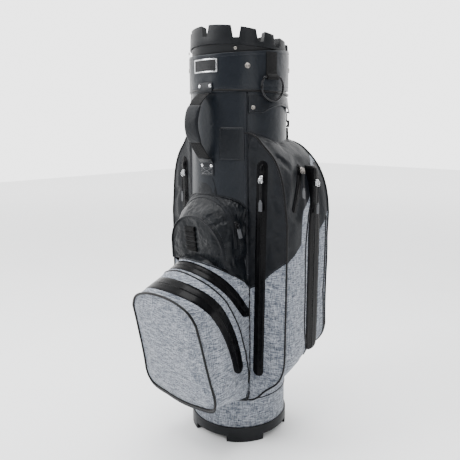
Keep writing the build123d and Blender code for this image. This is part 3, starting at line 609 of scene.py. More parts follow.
ROD = make_plastic("rod_coating", (0.05, 0.05, 0.05), 0.3, 0.4)
FLOOR = make_floor()


# ---- Pocket forms: each is a grid of points, swelled as cloth, then read as smooth surfaces ----
def outside_tube(points, sink=0.8):
    """Points that fall inside the bag's skin, moved out to just under it."""
    points = np.array(points, float)
    radius = np.linalg.norm(points[..., :2], axis=-1)
    wanted = (tube_radius(points[..., 2] / MM) - sink) * MM
    grow = np.where(radius < wanted, wanted / np.maximum(radius, 1e-9), 1.0)
    points[..., :2] *= grow[..., None]
    return points


def between(a, b, count):
    """Evenly spaced points from a to b."""
    share = np.linspace(0, 1, count)[:, None]
    return np.asarray(a, float) * (1 - share) + np.asarray(b, float) * share


def joined(*runs):
    """Runs of points end to end, without their repeated joints."""
    return np.vstack([runs[0]] + [run[1:] for run in runs[1:]])


def ruled(first, last, count):
    """A grid of straight lines from each point of one run to the other's."""
    share = np.linspace(0, 1, count)[:, None, None]
    return first[None] * (1 - share) + last[None] * share


def fade_near(points, paths, inner, outer):
    """0 within inner millimetres of any path, rising to 1 at outer millimetres."""
    best = np.full(points.shape[:-1], 1e9)
    for path in paths:
        path = np.asarray(path, float)
        for a, b in zip(path[:-1], path[1:]):
            along = np.clip(((points - a) @ (b - a)) / max(np.dot(b - a, b - a), 1e-12), 0, 1)
            away = np.linalg.norm(points - a - along[..., None] * (b - a), axis=-1)
            best = np.minimum(best, away)
    return smooth((best / MM - inner) / (outer - inner))


def swelled(grids, inside, held, quiet, pressure, shrink, cap):
    """Grids of points, joined where they meet and swelled as one piece of cloth.

    held tells which points are sewn down. quiet is how much of the movement each point keeps,
    and cap is about the most that any point moves, in millimetres.
    """
    stack = np.vstack([grid.reshape(-1, 3) for grid in grids])
    keys, index = np.unique(np.round(stack / 2e-5).astype(int), axis=0, return_inverse=True)
    index = index.reshape(-1)
    rest = np.zeros((len(keys), 3))
    rest[index] = stack
    keep = quiet(rest)
    faces, offset = [], 0
    for grid in grids:
        rows, columns = grid.shape[:2]
        for face in grid_faces(rows, columns, start=offset):
            corners = [int(index[k]) for k in face]
            corners = [c for n, c in enumerate(corners) if c not in corners[:n]]
            if len(corners) > 2:
                faces.append(corners)
        offset += rows * columns
    mesh = bpy.data.meshes.new("swell")
    mesh.from_pydata([tuple(p) for p in rest], [], faces)
    shape = bmesh.new()
    shape.from_mesh(mesh)
    bmesh.ops.recalc_face_normals(shape, faces=shape.faces)
    facing = sum(f.normal.dot(f.calc_center_median() - Vector(inside)) for f in shape.faces)
    if facing < 0:
        bmesh.ops.reverse_faces(shape, faces=shape.faces)
    shape.to_mesh(mesh)
    shape.free()
    piece = bpy.data.objects.new("swell", mesh)
    bpy.context.scene.collection.objects.link(piece)
    pins = piece.vertex_groups.new(name="pins")
    pins.add([int(k) for k in np.nonzero(held(rest))[0]], 1.0, "REPLACE")
    cloth = piece.modifiers.new("cloth", "CLOTH").settings
    cloth.quality = 6
    cloth.mass = 0.25
    cloth.tension_stiffness = cloth.compression_stiffness = 12
    cloth.shear_stiffness = 6
    cloth.bending_stiffness = 0.35
    cloth.vertex_group_mass = "pins"
    cloth.use_pressure = True
    cloth.uniform_pressure_force = pressure
    cloth.shrink_min = shrink
    cloth.effector_weights.gravity = 0
    for tick in range(1, 21):
        bpy.context.scene.frame_set(tick)
    solved = piece.evaluated_get(bpy.context.evaluated_depsgraph_get())
    pushed = np.array([tuple(v.co) for v in solved.data.vertices])
    bpy.context.scene.frame_set(1)
    bpy.data.objects.remove(piece)
    bpy.data.meshes.remove(mesh)
    move = pushed - rest
    size = np.linalg.norm(move, axis=1, keepdims=True) / MM
    move *= np.tanh(size / cap) * cap / np.maximum(size, 1e-9) * keep[:, None]
    moved = (rest + move)[index]
    result, offset = [], 0
    for grid in grids:
        count = grid.shape[0] * grid.shape[1]
        result.append(moved[offset : offset + count].reshape(grid.shape))
        offset += count
    return result


def crumpled(points, normals, size, height, seed=0.0):
    """Points moved along their normals by slow folded noise, for soft gathered fabric."""
    return points + normals * (folds(points / (size * MM) + seed, 0.7, 2.1, 3) * height * MM)[..., None]


# Side pocket: gusset at the front, outer wall, gusset at the back, as one grid from tube to tube.
FRONT_TOP = [(60, 702), (100, 698), (118, 680), (140, 656), (155, 628), (168, 568.5), (174.5, 513)]
FRONT_LOW = [(174.5, 232), (172, 197), (158.5, 163), (125, 130.5), (100, 107), (60, 104)]
BACK_TOP = [(60, 690), (100, 676), (125, 656), (145, 632), (160, 603), (170, 566), (174.5, 525)]
BACK_LOW = [(174.5, 262), (170, 240), (152, 213), (122, 190), (95, 172), (60, 165)]
FRONT_GUSSET, BACK_GUSSET = (82, -67, 18 / 90), (70, 90, 17 / 102)


def gusset_run(points, gusset):
    """Elevation points (x, z) placed on a gusset's upright plane."""
    x0, y0, slope = gusset
    return [(x * MM, (y0 + (x - x0) * slope) * MM, z * MM) for x, z in points]


def side_outline(top, low, gusset):
    """The pocket's outline on a gusset, from the top of the tube round to its bottom."""
    top, low = gusset_run(top, gusset), gusset_run(low, gusset)
    return joined(curve_through(top, 40), between(top[-1], low[0], 26), curve_through(low, 34))


def on_gusset(points, gusset=FRONT_GUSSET):
    return np.array(gusset_run(points, gusset))


def toward_tube(outline, gusset, count):
    """A gusset's grid, level rows from the tube out to its outline."""
    x0, y0, slope = gusset
    height = outline[:, 2] / MM
    radius = tube_radius(height) - 0.8
    a, b, c = 1 + slope**2, 2 * slope * (y0 - slope * x0), (y0 - slope * x0) ** 2 - radius**2
    x = (-b + np.sqrt(b * b - 4 * a * c)) / (2 * a)
    x = np.minimum(x, np.maximum(outline[:, 0] / MM, 60))
    tube = np.stack([x, y0 + (x - x0) * slope, height], -1) * MM
    return ruled(tube, outline, count)


front_outline = side_outline(FRONT_TOP, FRONT_LOW, FRONT_GUSSET)
back_outline = side_outline(BACK_TOP, BACK_LOW, BACK_GUSSET)
FRONT_ROWS, WALL_ROWS, BACK_ROWS = 12, 21, 13
side_front_form = toward_tube(front_outline, FRONT_GUSSET, FRONT_ROWS)
side_wall_form = ruled(front_outline, back_outline, WALL_ROWS)
side_back_form = toward_tube(back_outline, BACK_GUSSET, BACK_ROWS)[::-1]
side_form = outside_tube(joined(side_front_form, side_wall_form, side_back_form))

FRONT_ZIP = on_gusset([(118.0, 648), (117.3, 610), (113.0, 300), (111.2, 168)])
OUTER_ZIP = [(0.1753, 0.052, 0.640), (0.1745, 0.052, 0.40), (0.1745, 0.052, 0.215)]
SHORT_ZIP = [(0.149, 0.0245, 0.634), (0.1656, 0.001, 0.588), (0.174, -0.0225, 0.540)]


def side_quiet(points):
    seams = fade_near(points, [front_outline[::3], back_outline[::3]], 0.0, 30.0)
    zips = fade_near(points, [FRONT_ZIP], 13.0, 34.0)
    outer = fade_near(points, [OUTER_ZIP], 20.0, 44.0) * fade_near(points, [SHORT_ZIP], 10.0, 30.0)
    return (0.25 + 0.75 * seams) * zips * outer


side_form = swelled([side_form], (0.1, 0.0, 0.4), near_skin, side_quiet, 3.0, -0.035, 4.5)[0]
SIDE_INSIDE = (0.11, 0.01, 0.4)
side_front = Surface(side_form[:FRONT_ROWS], SIDE_INSIDE)
side_wall = Surface(side_form[FRONT_ROWS - 1 : FRONT_ROWS + WALL_ROWS - 1], SIDE_INSIDE)
side_back = Surface(side_form[FRONT_ROWS + WALL_ROWS - 2 :], SIDE_INSIDE)

# Cooler pocket: a wall from the tube to the leaning front outline, and a crowned face in it.
COOLER_TOP = [(-98, 334), (-85, 355), (-63, 368), (0, 378), (63, 368), (85, 355), (98, 334)]
COOLER_SIDE = [(98, 334), (101, 299), (105, 220), (110, 170)]
COOLER_LOW = [(110, 170), (104, 142), (60, 126), (0, 120), (-60, 126), (-104, 142), (-110, 170)]
COOLER_BACK_TOP = [(-86, 375), (-81, 412), (-65, 447), (0, 490), (65, 447), (81, 412), (86, 375)]
COOLER_BACK_SIDE = [(86, 375), (86, 300), (86, 220), (86, 130)]
COOLER_BACK_LOW = [(86, 130), (80, 106), (50, 101), (0, 101), (-50, 101), (-80, 106), (-86, 130)]
POCKET_BACK_Y = -62.0


def cooler_face_point(x, z):
    return (x * MM, (-201 - 0.227 * (z - 173)) * MM, z * MM)


def back_point(x, z):
    return (x * MM, POCKET_BACK_Y * MM, z * MM)


def closed_outline(place, top, side, low, across, down):
    """Four sides of a closed outline: along the top, down the right, back under, up the left."""
    left = [(-x, z) for x, z in side[::-1]]
    runs = [(top, across), (side, down), (low, across), (left, down)]
    return [curve_through([place(x, z) for x, z in run], count) for run, count in runs]


def coons(sides):
    """A smooth grid filled in between four sides, rows down and columns across."""
    top, right, low, left = sides[0], sides[1], sides[2][::-1], sides[3][::-1]
    rows, columns = len(right), len(top)
    v = np.linspace(0, 1, rows)[:, None, None]
    u = np.linspace(0, 1, columns)[None, :, None]
    across = left[:, None] * (1 - u) + right[:, None] * u
    down = top[None] * (1 - v) + low[None] * v
    corners = top[0] * (1 - u) * (1 - v) + top[-1] * u * (1 - v) + low[0] * (1 - u) * v + low[-1] * u * v
    return across + down - corners


ACROSS, DOWN, WALL_DEPTH = 31, 26, 20
cooler_sides = closed_outline(cooler_face_point, COOLER_TOP, COOLER_SIDE, COOLER_LOW, ACROSS, DOWN)
cooler_back = closed_outline(back_point, COOLER_BACK_TOP, COOLER_BACK_SIDE, COOLER_BACK_LOW, ACROSS, DOWN)
cooler_rim = joined(*cooler_sides)
cooler_wall_form = outside_tube(ruled(cooler_rim, joined(*cooler_back), WALL_DEPTH))
cooler_face_form = coons(cooler_sides)
# The face bellies forward a little, most in its middle and not at all along its seams.
belly_v = np.sin(np.linspace(0, 1, DOWN) * np.pi)[:, None]
belly_u = np.sin(np.linspace(0, 1, ACROSS) * np.pi)[None]
face_normal = np.array(unit((0.0, -1.0, -0.227)))
cooler_face_form += face_normal * (belly_u * belly_v * 3.5 * MM)[..., None]


def cooler_upper_zip(points):
    """Signed distance from the upper tape's middle, in millimetres."""
    return ((points - np.array([0, -0.1135, 0.3585])) @ np.array([0, 0.7629, 0.6465])) / MM


def cooler_lower_zip(points):
    """Signed distance from the lower tape's middle: the tape curves back under the sides."""
    return np.hypot(points[..., 1] + 0.478, points[..., 2] - 0.113) / MM - 381.0


def clear_of(points, distance, low, gap, fade):
    """0 within gap millimetres of a zip, rising to 1 over fade, and 1 below height low (metres)."""
    return np.where(points[:, 2] > low, smooth((np.abs(distance(points)) - gap) / fade), 1.0)


def cooler_quiet(points):
    seam = fade_near(points, [cooler_rim[::3]], 0.0, 26.0)
    upper = clear_of(points, cooler_upper_zip, 0.300, 9, 16)
    lower = clear_of(points, cooler_lower_zip, 0.170, 15, 14)
    on_face = points[:, 1] * 1000 < -198 - 0.227 * (points[:, 2] * 1000 - 173)
    return (0.15 + 0.85 * seam) * np.where(on_face, 1.0, upper * lower)


COOLER_INSIDE = (0.0, -0.15, 0.26)
cooler_wall_form, cooler_face_form = swelled(
    [cooler_wall_form, cooler_face_form], COOLER_INSIDE, near_skin, cooler_quiet, 2.6, -0.03, 6.0
)
# The wall's ring is read from the middle of the bottom, up the left, over the top and down the right.
bottom_middle = (ACROSS - 1) + (DOWN - 1) + (ACROSS - 1) // 2
cooler_wall_form = np.roll(cooler_wall_form[:, :-1], -bottom_middle, axis=1)
cooler_wall_form = np.concatenate([cooler_wall_form, cooler_wall_form[:, :1]], axis=1)
cooler_wall = Surface(cooler_wall_form, COOLER_INSIDE)
cooler_face = Surface(cooler_face_form, COOLER_INSIDE)

# Valuables pocket: an arched wall and face that stand on the cooler pocket.
VALUABLES_ARC = 78.0


def arch_outline(place, centre, radius, foot_x, foot_z, leg, arc):
    """Up the left leg, over the arch and down the right leg, with set counts of points on each."""
    angles = np.radians(np.linspace(-VALUABLES_ARC, VALUABLES_ARC, arc))
    arch = [(radius * math.sin(a), centre + radius * math.cos(a)) for a in angles]
    rising = between((-foot_x, foot_z), arch[0], leg)
    falling = between(arch[-1], (foot_x, foot_z), leg)
    return np.array([place(x, z) for x, z in joined(rising, np.array(arch), falling)])


def valuables_face_point(x, z):
    return (x * MM, (-141.4 - 0.14 * (z - 477)) * MM, z * MM)


LEG, ARC = 9, 45
ARCH = ARC + 2 * LEG - 2
arch_front = arch_outline(valuables_face_point, 449.8, 79.2, 80, 425, LEG, ARC)
arch_back = arch_outline(back_point, 535.0, 86.0, 84, 360, LEG, ARC)
valuables_wall_form = outside_tube(ruled(arch_front, arch_back, 14))
foot = np.array([valuables_face_point(x, 425) for x in np.linspace(-80, 80, ARCH)])
valuables_face_form = ruled(arch_front, foot, 18)
dome = np.sin(np.linspace(0, 1, 18) * np.pi)[:, None] * (1 - np.linspace(-1, 1, ARCH) ** 2)[None]
valuables_normal = np.array(unit((0.0, -1.0, -0.14)))
valuables_face_form = valuables_face_form + valuables_normal * (dome * 2.0 * MM)[..., None]


def arch_zip(points):
    """Signed distance from the arched tape's middle, in millimetres."""
    return ((points - np.array([0, -0.1028, 0.4924])) @ np.array([0, -0.99756, -0.06983])) / MM


def valuables_held(points):
    return near_skin(points) | (points[:, 2] < 0.4275)


def valuables_quiet(points):
    zipped = clear_of(points, arch_zip, 0.455, 5, 12)
    seam = fade_near(points, [arch_front[::2]], 0.0, 18.0)
    ladder = fade_near(points, [[(-0.0115, -0.1372, 0.507), (-0.0115, -0.1455, 0.448)]], 14.0, 34.0)
    return (0.3 + 0.7 * seam) * zipped * ladder


VALUABLES_INSIDE = (0.0, -0.11, 0.46)
valuables_forms = [valuables_wall_form, valuables_face_form]
valuables_wall_form, valuables_face_form = swelled(
    valuables_forms, VALUABLES_INSIDE, valuables_held, valuables_quiet, 2.0, -0.03, 3.0
)
valuables_wall = Surface(valuables_wall_form, VALUABLES_INSIDE)
valuables_face = Surface(valuables_face_form, VALUABLES_INSIDE)


# ---- Pieces cut from the pocket surfaces ----
ALL = slice(None)
FIRST_ROW, LAST_ROW, FIRST_COLUMN, LAST_COLUMN = (0, ALL), (-1, ALL), (ALL, 0), (ALL, -1)
SEWN_EDGES = [FIRST_ROW, LAST_ROW, FIRST_COLUMN]


def add_sheet(builder, surface, u, v, lift=0.0, tucked=(), across=True):
    """A patch over (u, v) arrays, lifted in millimetres, with chosen edges tucked under.

    across says that its rows run along u. If not, its faces are turned round.
    """
    u, v = np.broadcast_arrays(u, v)
    height = np.full(u.shape, float(lift))
    for edge in tucked:
        height[edge] = -0.8
    builder.grid(surface.lifted(u, v, height * MM), flip=(surface.sign < 0) == across)


def spaced(start, stop, count, edge=0.004):
    """Even steps with a close extra step at each end, so that a tucked edge is crisp."""
    start, stop = np.asarray(start, float), np.asarray(stop, float)
    share = np.concatenate([[0, edge], np.linspace(2.5 * edge, 1 - 2.5 * edge, count), [1 - edge, 1]])
    return start[..., None] + (stop - start)[..., None] * share


def piece_pair(name, builder, material, swaps=(), body="bag"):
    """A piece on the right and its mirror image on the left, both on the bag or each on its side's own body."""
    made = []
    for side, sign in (("right", 1), ("left", -1)):
        vertices = [(p[0] * sign, p[1], p[2]) for p in builder.vertices]
        faces = builder.faces if sign > 0 else [face[::-1] for face in builder.faces]
        home = body if body == "bag" else f"{side}_{body}"
        piece = new_object(f"{side}_{name}", vertices, faces, material, home)
        if swaps:
            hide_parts(*[f"{side}_{node}" for node in swaps])
        made.append(piece)
    return made


def boundary(surface, path, over):
    """Where a path on the surface lies, as one coordinate over the other."""
    u, v = surface.find(curve_through(path, 60))
    key, value = (u, v) if over == "u" else (v, u)
    order = np.argsort(key)
    return lambda at: np.interp(at, key[order], value[order])


def wall_point(y, z):
    """About where height z and depth y (mm) lie on a side pocket's outer wall."""
    (xf, yf), (xb, yb) = (
        [np.interp(z * MM, outline[::-1, 2], outline[::-1, k]) for k in (0, 1)]
        for outline in (front_outline, back_outline)
    )
    share = np.clip((y * MM - yf) / (yb - yf), 0, 1)
    return (xf + (xb - xf) * share, y * MM, z * MM)


def wall_points_at(places):
    """Points on the outer wall at (depth, height) pairs."""
    return np.array([wall_point(*place) for place in places])


def line_on(surface, path, count, lift):
    """The points of a smooth path laid on a surface and lifted in millimetres."""
    u, v = surface.find(curve_through(path, count // 4))
    return surface.lifted(*curve_through(np.stack([u, v], -1), count).T, lift * MM)


# The side pockets' cloth: black nylon above, heather below.
GUSSET_SEAM = [(86, 362), (92, 368), (110, 377), (133, 400), (158, 422), (173, 434)]
WALL_SEAM = [(-49, 433), (-24, 449), (-0.5, 470), (-0.5, 493), (34, 560), (71, 632), (88, 649), (101, 657)]
gusset_seam = boundary(side_front, on_gusset(GUSSET_SEAM), "u")
seam_u, seam_v = side_wall.find(wall_points_at(WALL_SEAM))
seam_run = curve_through(np.stack([seam_u, seam_v], -1)[2:], 60)
seam_start_v = float(seam_v[0])


def wall_seam(v):
    """How far back the black nylon reaches on the outer wall at v."""
    bend_u, bend_v = 0.5 * seam_u[1] + 0.5 * seam_u[2], 0.5 * seam_v[1] + 0.5 * seam_v[2]
    ahead = np.concatenate([[1.0, 1.0], seam_run[::-1, 0], [bend_u, seam_u[1], 0.0]])
    down = np.concatenate([[0.0, seam_run[-1, 1] - 0.004], seam_run[::-1, 1], [bend_v, seam_v[1], seam_v[0]]])
    return np.interp(v, down, ahead)


black, grey = Builder(), Builder()
rows = np.linspace(0, 1, 44)
split = gusset_seam(rows)
v_low = spaced(split - 0.0006, np.ones_like(split), 150)
black_v = spaced(np.zeros_like(split), split, 150)
add_sheet(grey, side_front, rows[:, None], v_low, -0.15)
add_sheet(black, side_front, rows[:, None], black_v, 0.35, [LAST_COLUMN])
v_line = np.concatenate([np.linspace(0, seam_start_v, 170), np.linspace(seam_start_v, 1, 110)[1:]])
edge_u = wall_seam(v_line)
upto = spaced(np.zeros_like(edge_u), edge_u, 50)[v_line <= seam_start_v]
beyond = spaced(np.maximum(edge_u - 0.001, 0), np.ones_like(edge_u), 60)
black_rows = v_line[v_line <= seam_start_v]
add_sheet(black, side_wall, upto, black_rows[:, None], 0.35, [LAST_COLUMN], across=False)
add_sheet(grey, side_wall, beyond, v_line[:, None], -0.15, across=False)
back_split = float(side_wall.find(wall_points_at([(103, 528)]))[1][0])
back_u = np.linspace(0, 1, 40)[:, None]
add_sheet(grey, side_back, back_u, np.linspace(back_split - 0.0006, 1, 200), -0.15)
add_sheet(black, side_back, back_u, spaced(np.array(0.0), np.array(back_split), 50), 0.35, [LAST_COLUMN])
# Behind the outer zip the black nylon comes down again, to a point at the zip's rear edge.
left_u, left_v = side_wall.find(wall_points_at([(88, 640), (68, 604), (50, 563), (37, 525), (31, 494)]))
right_u, right_v = side_wall.find(wall_points_at([(103, 560), (103, 530), (95, 514), (82, 500), (73, 490)]))
rear_rows = np.linspace(left_v[0], max(left_v[-1], right_v[-1]), 90)
rear_left, rear_right = np.interp(rear_rows, left_v, left_u), np.interp(rear_rows, right_v, right_u)
rear_right = np.where(rear_rows < right_v[1], 1.0, rear_right)
rear_u = spaced(np.minimum(rear_left, rear_right), rear_right, 26)
add_sheet(black, side_wall, rear_u, rear_rows[:, None], 0.4, SEWN_EDGES, across=False)
grey_pair = piece_pair("pocket_heather", grey, HEATHER, ("side_pocket",))
black_pair = piece_pair("pocket_nylon", black, NYLON_PLAIN)

# Piping and seams on the side pockets.
piping = Builder()
for edge_at, thick in ((0.0, 2.2), (1.0, 2.0)):
    piping.tube(side_wall.lifted(edge_at, np.linspace(0.012, 0.99, 260), 0.6 * MM), thick * MM)
MIDDLE_PIPING = [(80, 622), (77, 616), (45, 560), (21, 498), (15, 456)]
MIDDLE_PIPING += [(16.5, 400), (19, 339), (23, 258), (36, 222), (50, 199)]
REAR_PIPING = [(96, 520), (95, 442), (94.5, 380), (95, 320), (98, 280), (104, 238)]
for path in (MIDDLE_PIPING, REAR_PIPING):
    piping.tube(line_on(side_wall, wall_points_at(path), 200, 0.5), 1.8 * MM, 8)
piece_pair("pocket_piping", piping, PIPING)

# Half a zip's film, from its slit out to its edge: shares of its half width, and heights in millimetres.
HALF_SHARES = [0.03, 0.055, 0.1, 0.2, 0.6, 0.95, 0.985, 1]
HALF_RISE = [0.35, 1.3, 1.35, 1.1, 1.05, 0.95, 0.5, -0.9]
TAPE_SHARES = np.array([-share for share in HALF_SHARES[::-1]] + HALF_SHARES)
TAPE_RISE = np.array(HALF_RISE[::-1] + HALF_RISE)


def end_samples(count):
    """Shares of a path, closer together at its ends."""
    return 0.5 - 0.5 * np.cos(np.linspace(0, np.pi, count))


def film_strips(centre, half, place):
    """Rows of points over a film whose middle runs along centre. place lays each row on its surface."""
    length = length_along(centre) / MM
    to_end = np.clip(np.minimum(length, length[-1] - length) / half, 0, 1)
    width = half * np.sqrt(np.maximum(1 - (1 - to_end) ** 2, 1e-4))
    points = np.zeros((len(centre), len(TAPE_SHARES), 3))
    for k, share in enumerate(TAPE_SHARES):
        lift = np.where(to_end < 0.02, -0.9, TAPE_RISE[k])
        lift = np.where((abs(share) < 0.04) & (to_end < 0.9), 1.0, lift)
        points[:, k] = place(share * width, lift * MM)
    return points


def tape(builder, surface, path, half, count):
    """Film welded along a path on a surface, round at both ends, with the zip's slit in its middle."""
    line = read_run(end_samples(count), np.linspace(0, 1, 240), curve_through(path, 240))
    u, v = surface.find(line)
    centre = surface.at(u, v)
    side = unit(np.cross(unit(np.gradient(centre, axis=0)), surface.normal(u, v)))

    def place(aside, lift):
        return surface.lifted(*surface.shifted(u, v, side * (aside * MM)[:, None]), lift)

    points, k = film_strips(centre, half, place), count // 2
    right, on = points[k, 9] - points[k, 6], centre[k + 1] - centre[k]
    builder.grid(points, flip=np.dot(np.cross(right, on), surface.normal(u[k], v[k])) < 0)


side_film = Builder()
tape(side_film, side_front, FRONT_ZIP, 13.0, 150)
tape(side_film, side_wall, SHORT_ZIP, 8.0, 60)

# The outer zip's film is wide below and narrows up to a stiff garage that stands off the wall.
OUTER_FILM = [(214, 3, 174.6), (215, 9, 175.4), (218, 14, 175.8), (223, 18.5, 175.9), (230, 21, 175.9)]
OUTER_FILM += [(z, 22, 175.9) for z in (240, 300, 400, 480)] + [(500, 21.5, 175.9), (515, 20, 175.9)]
OUTER_FILM += [(530, 17, 175.9), (548, 13.5, 175.9), (566, 11.3, 175.9), (585, 10.3, 175.9), (605, 10, 175.9)]
OUTER_FILM += [(620, 9.6, 175.7), (629, 7.5, 174.0), (633, 4.5, 170.0), (634.5, 1.0, 163.0)]
heights, halves, faces_x = np.array(OUTER_FILM, float).T
steps_up = [np.linspace(a, b, 6, endpoint=False) for a, b in zip(heights[:-1], heights[1:])]
grid_z = np.concatenate(steps_up + [heights[-1:]])
grid_half, grid_x = np.interp(grid_z, heights, halves), np.interp(grid_z, heights, faces_x)
outer_rows = []
for share, rise in zip(TAPE_SHARES, TAPE_RISE):
    y = 52.0 + share * grid_half
    if abs(share) == 1:
        outer_rows.append(side_wall.lifted(*side_wall.find(wall_points_at(zip(y, grid_z))), -0.8 * MM))
    else:
        outer_rows.append(np.stack([grid_x + rise - 1.05, y, grid_z], -1) * MM)
side_film.grid(np.array(outer_rows), flip=True)
piece_pair("zip_film", side_film, FILM, ("zip_tapes",))


def cup(builder, surface, at, along, radius, length, height, count=9):
    """A glossy half-dome zip garage laid on a surface."""
    u, v = surface.find(np.array([at]))
    centre, normal = surface.at(u, v)[0], surface.normal(u, v)[0]
    along = unit(np.asarray(along, float) - normal * np.dot(along, normal))
    side = np.cross(normal, along)
    rings = []
    for t in np.linspace(0, 1, count):
        angle = t * np.pi / 2
        turn = np.linspace(0, 2 * np.pi, 28)
        ring = centre + (
            side * np.cos(turn)[:, None] * radius * math.cos(angle)
            + along * np.sin(turn)[:, None] * length * math.cos(angle)
            + normal * (height * math.sin(angle) - 0.4)
        ) * MM
        rings.append(ring)
    builder.grid(np.array(rings)[:, :-1], closed_columns=True)


garages = Builder()
cup(garages, side_front, on_gusset([(117.6, 628)])[0], (0, 0, 1), 7.5, 13.0, 6.0)
cup(garages, side_wall, (0.1505, 0.0225, 0.631), (-0.3, 0.5, 0.8), 5.5, 8.0, 4.5)
piece_pair("zip_garages", garages, FILM)

# Stitch lines beside the pipings and the colour seam.
stitching = Builder()
for u_at in (0.035, 0.965):
    stitching.stitches_on(side_wall, u_at, np.linspace(0.03, 0.97, 400), 0.45)
stitching.stitches_on(side_wall, (wall_seam(black_rows) - 0.02)[20:-12], black_rows[20:-12], 0.4)
stitching.stitches_on(side_front, rows, gusset_seam(rows) - 0.004, 0.45)
piece_pair("pocket_stitching", stitching, THREAD_GREY)


# ---- Cooler pocket ----
cooler = Builder()
depth, ring = np.meshgrid(np.linspace(0, 1, 60), np.linspace(0, 1, 300), indexing="ij")
add_sheet(cooler, cooler_wall, depth, ring)
add_sheet(cooler, cooler_face, np.linspace(0, 1, 90)[:, None], np.linspace(0, 1, 90))
cooler_piece = cooler.build("cooler_heather", HEATHER, "bag", "heather", "cooler_pocket")

# The nylon of the valuables pocket runs on over the top of the cooler, down to the side seams.
APRON_X = [0, 22, 43, 60, 71, 79, 85, 90]
APRON_LEVEL = [19.0, 19.8, 23, 27.5, 30.5, 34.5, 40, 46.5]
apron_ring = np.linspace(0.2, 0.8, 300)
over = cooler_wall.across(np.linspace(0, 1, 300), apron_ring)
past = cooler_upper_zip(over) - np.interp(np.abs(over[..., 0]) / MM, APRON_X, APRON_LEVEL)
past = np.where(over[..., 2] > 0.355, past, -1.0)
reaches = (past > 0).any(axis=1)
apron_ring, past = apron_ring[reaches], past[reaches]
apron_from = np.array([np.linspace(0, 1, 300)[np.argmax(row > 0)] for row in past])
apron_from = evened(apron_from, 9)
apron = Builder()
apron_depth = spaced(apron_from, np.ones_like(apron_from), 24)
add_sheet(apron, cooler_wall, apron_depth, apron_ring[:, None], 0.5, SEWN_EDGES, across=False)
apron.tube(cooler_wall.lifted(apron_from - 0.012, apron_ring, 0.5 * MM), 1.5 * MM, 8)
apron_piece = apron.build("cooler_apron", NYLON, "bag", "nylon")


def level_tape(builder, surface, distance, ring_from, ring_to, half, count):
    """Film on a ruled wall between two levels of a distance, round at both ends."""
    share = end_samples(count)
    ring_at = ring_from + (ring_to - ring_from) * share
    steps = np.linspace(0, 1, 240)
    level = distance(surface.across(steps, ring_at))
    middle_depth = np.array([np.interp(0.0, row, steps) for row in level])

    def place(aside, lift):
        at = np.array([np.interp(a, row, steps) for a, row in zip(aside, level)])
        return surface.lifted(at, ring_at, lift)

    builder.grid(film_strips(surface.at(middle_depth, ring_at), half, place), flip=surface.sign < 0)


def ring_at_height(surface, distance, height, left):
    """Where on the ring a tape's middle comes down to a height, on one side."""
    candidates = np.linspace(0.02, 0.5, 300) if left else np.linspace(0.98, 0.5, 300)
    steps = np.linspace(0, 1, 120)
    points = surface.across(steps, candidates)
    level = distance(points)
    z = np.array([np.interp(0.0, row, p[:, 2]) for row, p in zip(level, points)])
    return float(candidates[np.argmax(z > height)])


cooler_film = Builder()
for distance, height, half in ((cooler_upper_zip, 0.304, 13.0), (cooler_lower_zip, 0.182, 17.5)):
    start = ring_at_height(cooler_wall, distance, height, True)
    stop = ring_at_height(cooler_wall, distance, height, False)
    level_tape(cooler_film, cooler_wall, distance, start, stop, half, 200)
cooler_film.build("cooler_film", FILM, "bag", "film_tape", "cooler_tapes")

cooler_piping = Builder()
UP = np.array([0, 0, 1.0])
MIDDLE_LINE_Z = [101, 140, 217, 290, 337, 378, 412]
MIDDLE_LINE_Y = [-62, -66, -81, -106.5, -134, -160, -186]


def middle_line(points):
    """How far behind the middle piping a point lies, in millimetres."""
    return points[..., 1] / MM - np.interp(points[..., 2] / MM, MIDDLE_LINE_Z, MIDDLE_LINE_Y)


ring_at = np.linspace(0.13, 0.87, 400)
steps = np.linspace(0, 1, 240)
levels = middle_line(cooler_wall.across(steps, ring_at))
at = evened(np.array([np.interp(0.0, row, steps) for row in levels]), 25)
points = cooler_wall.lifted(at, ring_at, 0.4 * MM)
cooler_piping.tube(points[points[:, 2] > 0.128], 1.8 * MM, 8)
rim_run = cooler_wall.lifted(0.0, np.linspace(0, 1, 321)[:-1], 0.3 * MM) + face_normal * 0.6 * MM
cooler_piping.tube(rim_run, 2.8 * MM, closed=True)
for low, high in ((0.1, 0.42), (0.9, 0.58)):
    points = cooler_wall.lifted(0.985, np.linspace(low, high, 120), 0.8 * MM)
    cooler_piping.tube(points[points[:, 2] < 0.375], 2.0 * MM, 8)
cooler_piping.build("cooler_piping", PIPING, "bag", "piping", "cooler_trim")

# The black binding that hangs under the cooler's front edge.
binding = Builder()
for low, high in ((0.0, 0.168), (0.832, 1.0)):
    ring_at = np.linspace(low, high, 80)
    edge = cooler_wall.at(0.0, ring_at)
    fall = 9.0 * np.sqrt(np.clip(np.minimum(ring_at, 1 - ring_at)[:, None] / -0.05 + 3.36, 0, 1))
    drops = [(0.6, 0.0), (-0.6, -0.25), (-0.4, -0.6), (0.2, -0.95), (1.4, -1.0), (3.2, -0.9), (4.0, 0.0)]
    rows_down = [edge + np.array([0, back, 0]) * MM + UP * fall * down * MM for back, down in drops]
    binding.grid(np.array(rows_down), flip=True)
binding.build("cooler_binding", NYLON_PLAIN, "bag", "nylon")

cooler_stitching = Builder()
INSET = 0.035
edge = np.linspace(INSET, 1 - INSET, 120)
first_side, last_side = np.full(120, INSET), np.full(120, 1 - INSET)
loop_u = np.concatenate([first_side, edge, last_side, edge[::-1]])
loop_v = np.concatenate([edge, last_side, edge[::-1], first_side])
cooler_stitching.stitches_on(cooler_face, loop_u, loop_v, 0.2)
cooler_stitching.stitches_on(cooler_wall, INSET, np.linspace(0.02, 0.98, 500), 0.2)
cooler_stitching.build("cooler_stitching", THREAD_GREY, "bag", "heather")


